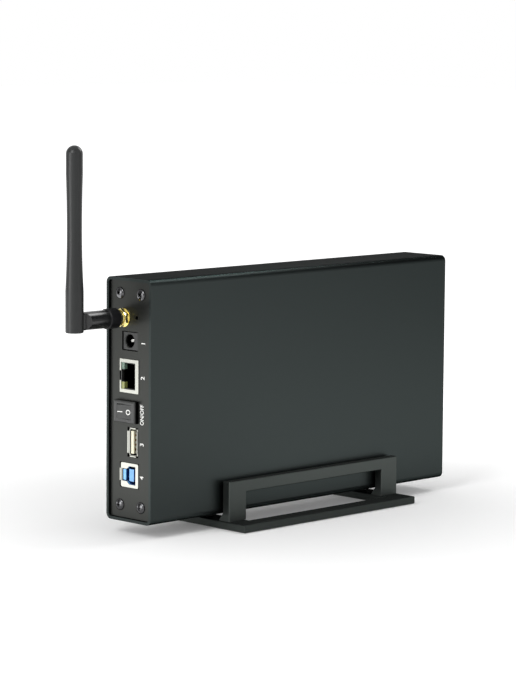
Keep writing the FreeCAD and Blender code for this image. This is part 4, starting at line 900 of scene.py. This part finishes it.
nut = move(make_nut(nut_height), out_of_panel(nut_high.x))
stand_in("aerial_nut_turned", nut, "aerial_nut", gold)
ridge = wind_thread(SOCKET_CREST, SOCKET_PITCH, (nut_low.x - ferrule_low.x) / MM)
move(ridge, out_of_panel(ferrule_low.x))
add_piece("socket_thread", ridge, body_of["aerial_socket"], slot_of["aerial_socket"], gold)
print("nut %.2f mm thick, thread fills %.2f mm" % (nut_height, (nut_low.x - ferrule_low.x) / MM))

# %% [markdown]
# Beside each socket the panel carries a small printed mark, read from the bottom upwards. The marks
# here are plain numbers, and ON/OFF beside the switch. Print is made as text, which is turned into
# a mesh, measured, and scaled so that its capitals have the printed height. It stands a hair proud.
# Each mark has a height over the middle, a place across, and a length where it is a word.

# %% Print the panel's marks
MARK_HEIGHT = 2.6
MARK_PROUD = 0.04
MARK_BOLD = 0.015
MARKS = {"1": (28.65, -9.1, None), "2": (11.75, -8.7, None), "ON/OFF": (-6.35, -8.2, 10.0),
         "3": (-20.95, -8.2, None), "4": (-37.3, -8.1, None)}
reading_up = Matrix(((0, 0, -1), (0, 1, 0), (1, 0, 0))).to_4x4()


def print_text(body, height, length=None):
    """Text on the XY plane, its middle at the origin and its capitals of one height, in mm."""
    letters = bpy.data.curves.new("letters", "FONT")
    letters.body = body
    letters.offset = MARK_BOLD
    letters.extrude = 0.1
    letters.resolution_u = 4
    carrier = show("letters", letters)
    graph = bpy.context.evaluated_depsgraph_get()
    flat = bpy.data.meshes.new_from_object(carrier.evaluated_get(graph))
    shape = bmesh.new()
    shape.from_mesh(flat)
    bpy.data.objects.remove(carrier)
    bpy.data.curves.remove(letters)
    bpy.data.meshes.remove(flat)
    spans = [(min(vert.co[k] for vert in shape.verts), max(vert.co[k] for vert in shape.verts))
             for k in range(3)]
    size = [high - low for low, high in spans]
    grow = height / size[1]
    stretch = length / size[0] if length else grow
    middle = Vector([-(low + high) / 2 for low, high in spans])
    bmesh.ops.translate(shape, vec=middle, verts=shape.verts)
    scale = [share * MM for share in (stretch, grow, 2 * MARK_PROUD / size[2])]
    bmesh.ops.scale(shape, vec=scale, verts=shape.verts)
    return clean(shape)


printed = bmesh.new()
for mark, (rise, across, length) in MARKS.items():
    place = Matrix.Translation((panel_x, across * MM, middle_z + rise * MM))
    pour_shape(printed, print_text(mark, MARK_HEIGHT, length), place @ reading_up)
add_piece("panel_marks", printed, body_of["rear_panel"], "port_cream", mark_white)
print("printed marks:", ", ".join(MARKS))

# %% [markdown]
# The switch's rocker has a thin line on its ON end and a ring on its OFF end. They lie on the two
# halves of a shallow valley, which is tipped with the rocker, so each is made flat and then laid
# through the same chain of turns that the rocker itself has.

# %% Mark the rocker
ROCKER_REST = 10.0
ROCKER_VALLEY = 6.0
ROCKER_FACE = 4.2
ROCKER_PIVOT = (1.5, 2.1, -5.55)
STROKE = 0.45
LINE_LENGTH = 2.9
LINE_CORNER = 0.2
LINE_REACH = 2.75
RING_HALF = (1.3, 1.45)
RING_REACH = 2.3
RING_STEPS = 40


def ring_mark():
    """A flat, slightly oval ring."""
    shape = bmesh.new()
    bmesh.ops.create_circle(shape, segments=RING_STEPS, radius=1.0)
    inner = pushed(bmesh.ops.extrude_edge_only(shape, edges=shape.edges[:]))
    outer = [vert for vert in shape.verts if vert not in inner]
    for verts, inset in ((outer, 0), (inner, STROKE)):
        half = [(size - inset) * MM for size in RING_HALF]
        bmesh.ops.scale(shape, vec=(*half, 1), verts=verts)
    return shape


def line_mark():
    """A flat bar with its corners rounded."""
    shape = bmesh.new()
    bmesh.ops.create_grid(shape, x_segments=1, y_segments=1, size=0.5)
    bmesh.ops.scale(shape, vec=(STROKE * MM, LINE_LENGTH * MM, 1), verts=shape.verts)
    bmesh.ops.bevel(shape, geom=shape.verts[:], offset=LINE_CORNER * MM, affect="VERTICES",
                    segments=3, profile=0.5, material=-1)
    return shape


behind, aside, above = (part * MM for part in ROCKER_PIVOT)
pivot = Matrix.Translation((panel_x + behind, aside, middle_z + above))
tipped = pivot @ about_z(ROCKER_REST) @ Matrix.Translation((-ROCKER_FACE * MM, 0, 0))
rocker_marks = bmesh.new()
for mark, side, reach in ((line_mark(), 1, LINE_REACH), (ring_mark(), -1, RING_REACH)):
    top = pushed(bmesh.ops.extrude_face_region(mark, geom=mark.faces[:]))
    bmesh.ops.translate(mark, vec=(0, 0, 2 * MARK_PROUD * MM), verts=top)
    bmesh.ops.translate(mark, vec=(0, side * reach * MM, -MARK_PROUD * MM), verts=mark.verts)
    move(mark, tipped @ about_z(side * ROCKER_VALLEY) @ reading_up)
    pour_shape(rocker_marks, clean(mark))
add_piece("rocker_marks", rocker_marks, "rocker", "port_cream", mark_white)
print("rocker marked on both ends")

# %% [markdown]
# The circuit board shows when the carriage is drawn out. Its copper tracks lie under the green
# lacquer as slightly raised, lighter lines that run along the board and across it, with small
# tinned pads between them. Two brick patterns, turned by a right angle, give the lines, and the
# cells of a Voronoi pattern give the pads. All of it is one group that gives masks.

# %% Lay the board's tracks
TRACK_SCALE = 260.0
TRACK_WIDTH = 0.035
TRACK_LENGTH = 1.7
PAD_RADIUS = 0.16
TRACK_HEIGHT = 0.05 * MM
TRACK_GREEN = (0.03, 0.2, 0.08, 1.0)
PAD_TIN = (0.6, 0.58, 0.5, 1.0)


def build_tracks():
    """Tracks: masks of raised lines and of pads, on a board that stands on edge."""
    group, given, result = new_group(
        "board_tracks", {"Scale": TRACK_SCALE}, {"Lines": "NodeSocketFloat", "Pads": "NodeSocketFloat"},
    )
    place = node(group, "ShaderNodeTexCoord").outputs["Object"]
    lines = []
    for angle in (0, 90):
        turn = (math.radians(90), math.radians(angle), 0)
        lay = node(group, "ShaderNodeMapping", {"Vector": place, "Rotation": turn})
        bricks = node(group, "ShaderNodeTexBrick", {
            "Vector": lay.outputs["Vector"], "Scale": given["Scale"],
            "Mortar Size": TRACK_WIDTH, "Brick Width": TRACK_LENGTH,
        })
        lines.append(bricks.outputs["Fac"])
    cells = node(group, "ShaderNodeTexVoronoi", {"Vector": place, "Scale": given["Scale"]})
    feed(group, result, {
        "Lines": math_node(group, "MAXIMUM", *lines),
        "Pads": math_node(group, "LESS_THAN", cells.outputs["Distance"], PAD_RADIUS),
    })
    return group


def lay_tracks(material, tracks):
    """Put the tracks under a board's lacquer: lighter, raised lines and tinned pads."""
    tree = material.node_tree
    surface = tree.nodes["Principled BSDF"]
    pattern = node(tree, "ShaderNodeGroup", {"Scale": TRACK_SCALE}, node_tree=tracks).outputs
    under = surface.inputs["Base Color"].links[0].from_socket
    for mask, colour in ((pattern["Lines"], TRACK_GREEN), (pattern["Pads"], PAD_TIN)):
        laid = node(tree, "ShaderNodeMix", {"Factor": mask, 6: under, 7: colour}, data_type="RGBA")
        under = laid.outputs[2]
    raised = node(tree, "ShaderNodeBump", {
        "Distance": TRACK_HEIGHT, "Normal": surface.inputs["Normal"].links[0].from_socket,
        "Height": math_node(tree, "MAXIMUM", pattern["Lines"], pattern["Pads"]),
    })
    feed(tree, surface, {
        "Base Color": under, "Metallic": pattern["Pads"], "Normal": raised.outputs["Normal"],
    })


lay_tracks(board_green, build_tracks())
print("tracks laid under the lacquer")

# %% [markdown]
# Legs, cans and small parts need the place of every chip and can, but all chips are one node, a
# single mesh of loose triangles, and so are all cans. So we merge a copy of the mesh and walk from
# vertex to vertex: what can be reached is one solid, and its outermost corners are its box.

# %% Find the solids of a node
off_board = Matrix(((1, 0, 0), (0, 0, 1), (0, -1, 0))).to_4x4()


def islands(name):
    """The lowest and highest corners of each separate solid in a node."""
    shape = bmesh.new()
    shape.from_mesh(frame["nodes"][name].data)
    bmesh.ops.remove_doubles(shape, verts=shape.verts, dist=MERGE_DISTANCE)
    left = set(shape.verts)
    boxes = []
    while left:
        found = [left.pop()]
        for vert in found:
            near = {edge.other_vert(vert) for edge in vert.link_edges} & left
            left -= near
            found += near
        corners = [[pick(vert.co[k] for vert in found) for k in range(3)] for pick in (min, max)]
        boxes.append(tuple(Vector(corner) for corner in corners))
    shape.free()
    return sorted(boxes, key=lambda box: (box[0].x, box[0].z))


chips = islands("board_chips")
cans = islands("board_capacitors")
print(len(chips), "chips and", len(cans), "cans on the board")

# %% [markdown]
# The chips' legs are bent metal strips. One leg is a bent line of four points, widened into a strip
# and given its thickness. Copies of it stand along the two long sides of a chip, or along all four
# where it is square.

# %% Solder the chips' legs
LEG_PITCH = 1.0
LEG_WIDTH = 0.4
LEG_THICKNESS = 0.12
LEG_OUT = (-0.05, 0.3, 0.42, 0.9)
LEG_FOOT = (0.08, 0.06)
SQUARE_SHARE = 0.8


def bend_leg(rise):
    """A gull-wing leg: it leaves the chip along X at half the chip's height and ends on the board."""
    leg = bmesh.new()
    points = [(x, -LEG_WIDTH / 2, z) for x, z in zip(LEG_OUT, (rise, rise, *LEG_FOOT))]
    edges = draw_line(leg, points)[1]
    wide = pushed(bmesh.ops.extrude_edge_only(leg, edges=edges))
    bmesh.ops.translate(leg, vec=(0, LEG_WIDTH * MM, 0), verts=wide)
    bmesh.ops.recalc_face_normals(leg, faces=leg.faces)
    bmesh.ops.solidify(leg, geom=leg.faces[:], thickness=LEG_THICKNESS * MM)
    bmesh.ops.recalc_face_normals(leg, faces=leg.faces)
    return to_mesh("leg", leg)


def solder_legs():
    """Legs along the long sides of every chip, and round all four sides of a square one."""
    legs = bmesh.new()
    count = 0
    for low, high in chips:
        middle = (low + high) / 2
        wide, tall = (high.x - low.x) / 2, (high.z - low.z) / 2
        square = min(wide, tall) > SQUARE_SHARE * max(wide, tall)
        leg = bend_leg((high.y - low.y) / 2 / MM)
        chip = Matrix.Translation((middle.x, low.y, middle.z)) @ off_board
        for quarter in range(4):
            out, along = (wide, tall) if quarter % 2 == 0 else (tall, wide)
            if not square and along < out:
                continue
            side = chip @ about_z(90 * quarter)
            number = int(2 * along / MM / LEG_PITCH) - 1
            for k in range(number):
                shift = (k - (number - 1) / 2) * LEG_PITCH * MM
                pour(legs, leg, side @ Matrix.Translation((out, shift, 0)))
            count += number
        bpy.data.meshes.remove(leg)
    add_piece("chip_legs", legs, body_of["board_chips"], "pin_steel", tin)
    return count


print("legs soldered:", solder_legs())

# %% [markdown]
# The capacitor cans on the board are drawn cups with a rolled groove near the foot, a rounded rim
# and a cross scored in the top, where they would open if they failed. The outline is turned and the
# score cut by the same tapered blade that made the screws' recess.

# %% Turn the capacitor cans
CAN_RIM = 0.45
CAN_RIM_MIDDLE = 0.13
CAN_GROOVE = 0.3
GROOVE_HEIGHTS = (1.0, 1.3, 1.6)
CAN_STEPS = 32
SCORE_SHARE = (1.2, 0.25, 0.12)


def turn_can(radius, height):
    """A can along Z from 0, with groove, rim and scored top, in mm."""
    low, middle, high = GROOVE_HEIGHTS
    can = lathe([(0, height), (radius - CAN_RIM, height),
                 (radius - CAN_RIM_MIDDLE, height - CAN_RIM_MIDDLE), (radius, height - CAN_RIM),
                 (radius, high), (radius - CAN_GROOVE, middle), (radius, low), (radius, 0), (0, 0)],
                CAN_STEPS)
    for angle in (45, 135):
        blade = recess_blade()
        bmesh.ops.scale(blade, vec=SCORE_SHARE, verts=blade.verts)
        move(blade, Matrix.Translation((0, 0, height * MM)) @ about_z(angle))
        can = combine(can, blade, "DIFFERENCE")
    return can


board_cans = bmesh.new()
for low, high in cans:
    foot = Matrix.Translation(((low.x + high.x) / 2, low.y, (low.z + high.z) / 2))
    can = turn_can((high.x - low.x) / 2 / MM, (high.y - low.y) / MM)
    pour_shape(board_cans, can, foot @ turn_to((0, 1, 0)))
stand_in("board_cans", board_cans, "board_capacitors", machined)
print("cans turned:", len(cans))

# %% [markdown]
# Between the chips sit dozens of tiny resistors and capacitors, each a small block with tinned
# ends. A fixed seed draws which places of a grid get one, and how it is turned. A place stays empty
# where a chip, a can, a screw, a socket or the wireless card is in the way.

# %% Scatter the small parts
SMALL_GRID = 2.6
SMALL_SEED = 7
SMALL_SHARE = 0.55
UPRIGHT_SHARE = 0.5
SMALL_KEEP_OUT = 1.4 * MM
SMALL_BLOCKS = ((-0.5, 0.5, 1.0), (-0.8, -0.45, 1.06), (0.45, 0.8, 1.06))
SMALL_WIDTH = 0.8
SMALL_HEIGHT = 0.6
SMALL_MIDDLE = 0.32
IN_THE_WAY = ("wireless_module", "drive_socket", "network_shell", "power_inlet", "rocker_frame",
              "host_shell", "device_shell", "reset_switch")


def small_part():
    """A block 1.6 by 0.8 mm with two tinned end caps, a little thicker than the block."""
    part = bmesh.new()
    for start, end, grow in SMALL_BLOCKS:
        made = bmesh.ops.create_cube(part, size=1.0)["verts"]
        size = [span * MM for span in (end - start, SMALL_WIDTH * grow, SMALL_HEIGHT * grow)]
        bmesh.ops.scale(part, vec=size, verts=made)
        bmesh.ops.translate(part, vec=((start + end) / 2 * MM, 0, SMALL_MIDDLE * MM), verts=made)
        for face in {face for vert in made for face in vert.link_faces}:
            face.material_index = int(grow > 1)
    return to_mesh("small", part)


def scatter_parts():
    """Small parts on the free places of the main board."""
    board_low, board_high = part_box("main_board")
    taken = chips + cans + islands("board_screws") + [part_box(name) for name in IN_THE_WAY]
    part = small_part()
    draw = random.Random(SMALL_SEED)
    parts = bmesh.new()
    count = 0
    across = int((board_high.x - board_low.x) / MM / SMALL_GRID) - 1
    up = int((board_high.z - board_low.z) / MM / SMALL_GRID) - 1
    for column in range(1, across):
        for row in range(1, up):
            x = board_low.x + column * SMALL_GRID * MM
            z = board_low.z + row * SMALL_GRID * MM
            upright = draw.random() < UPRIGHT_SHARE
            wanted = draw.random() < SMALL_SHARE
            free = all(not (low.x - SMALL_KEEP_OUT < x < high.x + SMALL_KEEP_OUT
                            and low.z - SMALL_KEEP_OUT < z < high.z + SMALL_KEEP_OUT)
                       for low, high in taken)
            if wanted and free:
                spot = Matrix.Translation((x, board_high.y, z)) @ off_board
                pour(parts, part, spot @ about_z(90 * upright))
                count += 1
    bpy.data.meshes.remove(part)
    add_piece("board_small_parts", parts, body_of["main_board"], "chip_black", part_brown, tin)
    return count


print("small parts:", scatter_parts())

# %% [markdown]
# The drive's lid is pressed from sheet steel, with a round step over the platters, and held by
# small screws round its edge and one near the arm's pivot. The step is a turned ring, and the screw
# heads are the ones made before, at a smaller scale and without their rods.

# %% Fit out the drive's lid
LID_SCREW_SCALE = 0.85
LID_SCREW_SEAT = 0.7 * MM
LID_EDGE = 4.6 * MM
LID_PIVOT = (7, 5)
RING_OUTER = 41.0
RING_WIDTH = 2.4
RING_RISE = 0.35
RING_TOP = 0.8
RING_FOOT = 0.05
RING_SUNK = 0.1
LID_STEPS = 96
lid_low, lid_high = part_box("drive_cover")
disc_low, disc_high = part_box("drive_platters")
off_lid = turn_to((0, 1, 0))


def press_ring():
    """The pressed ring over the platters."""
    inner = RING_OUTER - RING_WIDTH
    middle = RING_OUTER - RING_WIDTH / 2
    ring = lathe([(inner, -RING_SUNK), (inner, RING_FOOT), (middle - RING_TOP / 2, RING_RISE),
                  (middle + RING_TOP / 2, RING_RISE), (RING_OUTER, RING_FOOT),
                  (RING_OUTER, -RING_SUNK), (inner, -RING_SUNK)], LID_STEPS)
    centre = ((disc_low.x + disc_high.x) / 2, lid_high.y, (disc_low.z + disc_high.z) / 2)
    move(ring, Matrix.Translation(centre) @ off_lid)
    add_piece("drive_lid_ring", ring, body_of["drive_cover"], slot_of["drive_cover"], sheet_steel)


def lid_screw_places():
    """Seats along both long edges, and one near the arm's pivot, so many edge widths off."""
    columns = (lid_low.x + LID_EDGE, (lid_low.x + lid_high.x) / 2, lid_high.x - LID_EDGE)
    places = [(x, z) for x in columns for z in (lid_low.z + LID_EDGE, lid_high.z - LID_EDGE)]
    along, up = LID_PIVOT
    return places + [(lid_low.x + along * LID_EDGE, (lid_low.z + lid_high.z) / 2 + up * LID_EDGE)]


def screw_down_lid():
    """The heads of the screws that hold the lid."""
    head = make_head("domed")
    bmesh.ops.scale(head, vec=[LID_SCREW_SCALE] * 3, verts=head.verts)
    mesh = to_mesh("head", head)
    heads = bmesh.new()
    places = lid_screw_places()
    for count, (x, z) in enumerate(places):
        seat = Matrix.Translation((x, lid_high.y + LID_SCREW_SEAT, z))
        pour(heads, mesh, seat @ off_lid @ about_z(count * TURN_STEP))
    bpy.data.meshes.remove(mesh)
    add_piece("drive_lid_screws", heads, body_of["drive_cover"], "plain_screw", zinc, recess_painted_shade)
    return len(places)


press_ring()
print("ring pressed, lid screws:", screw_down_lid())
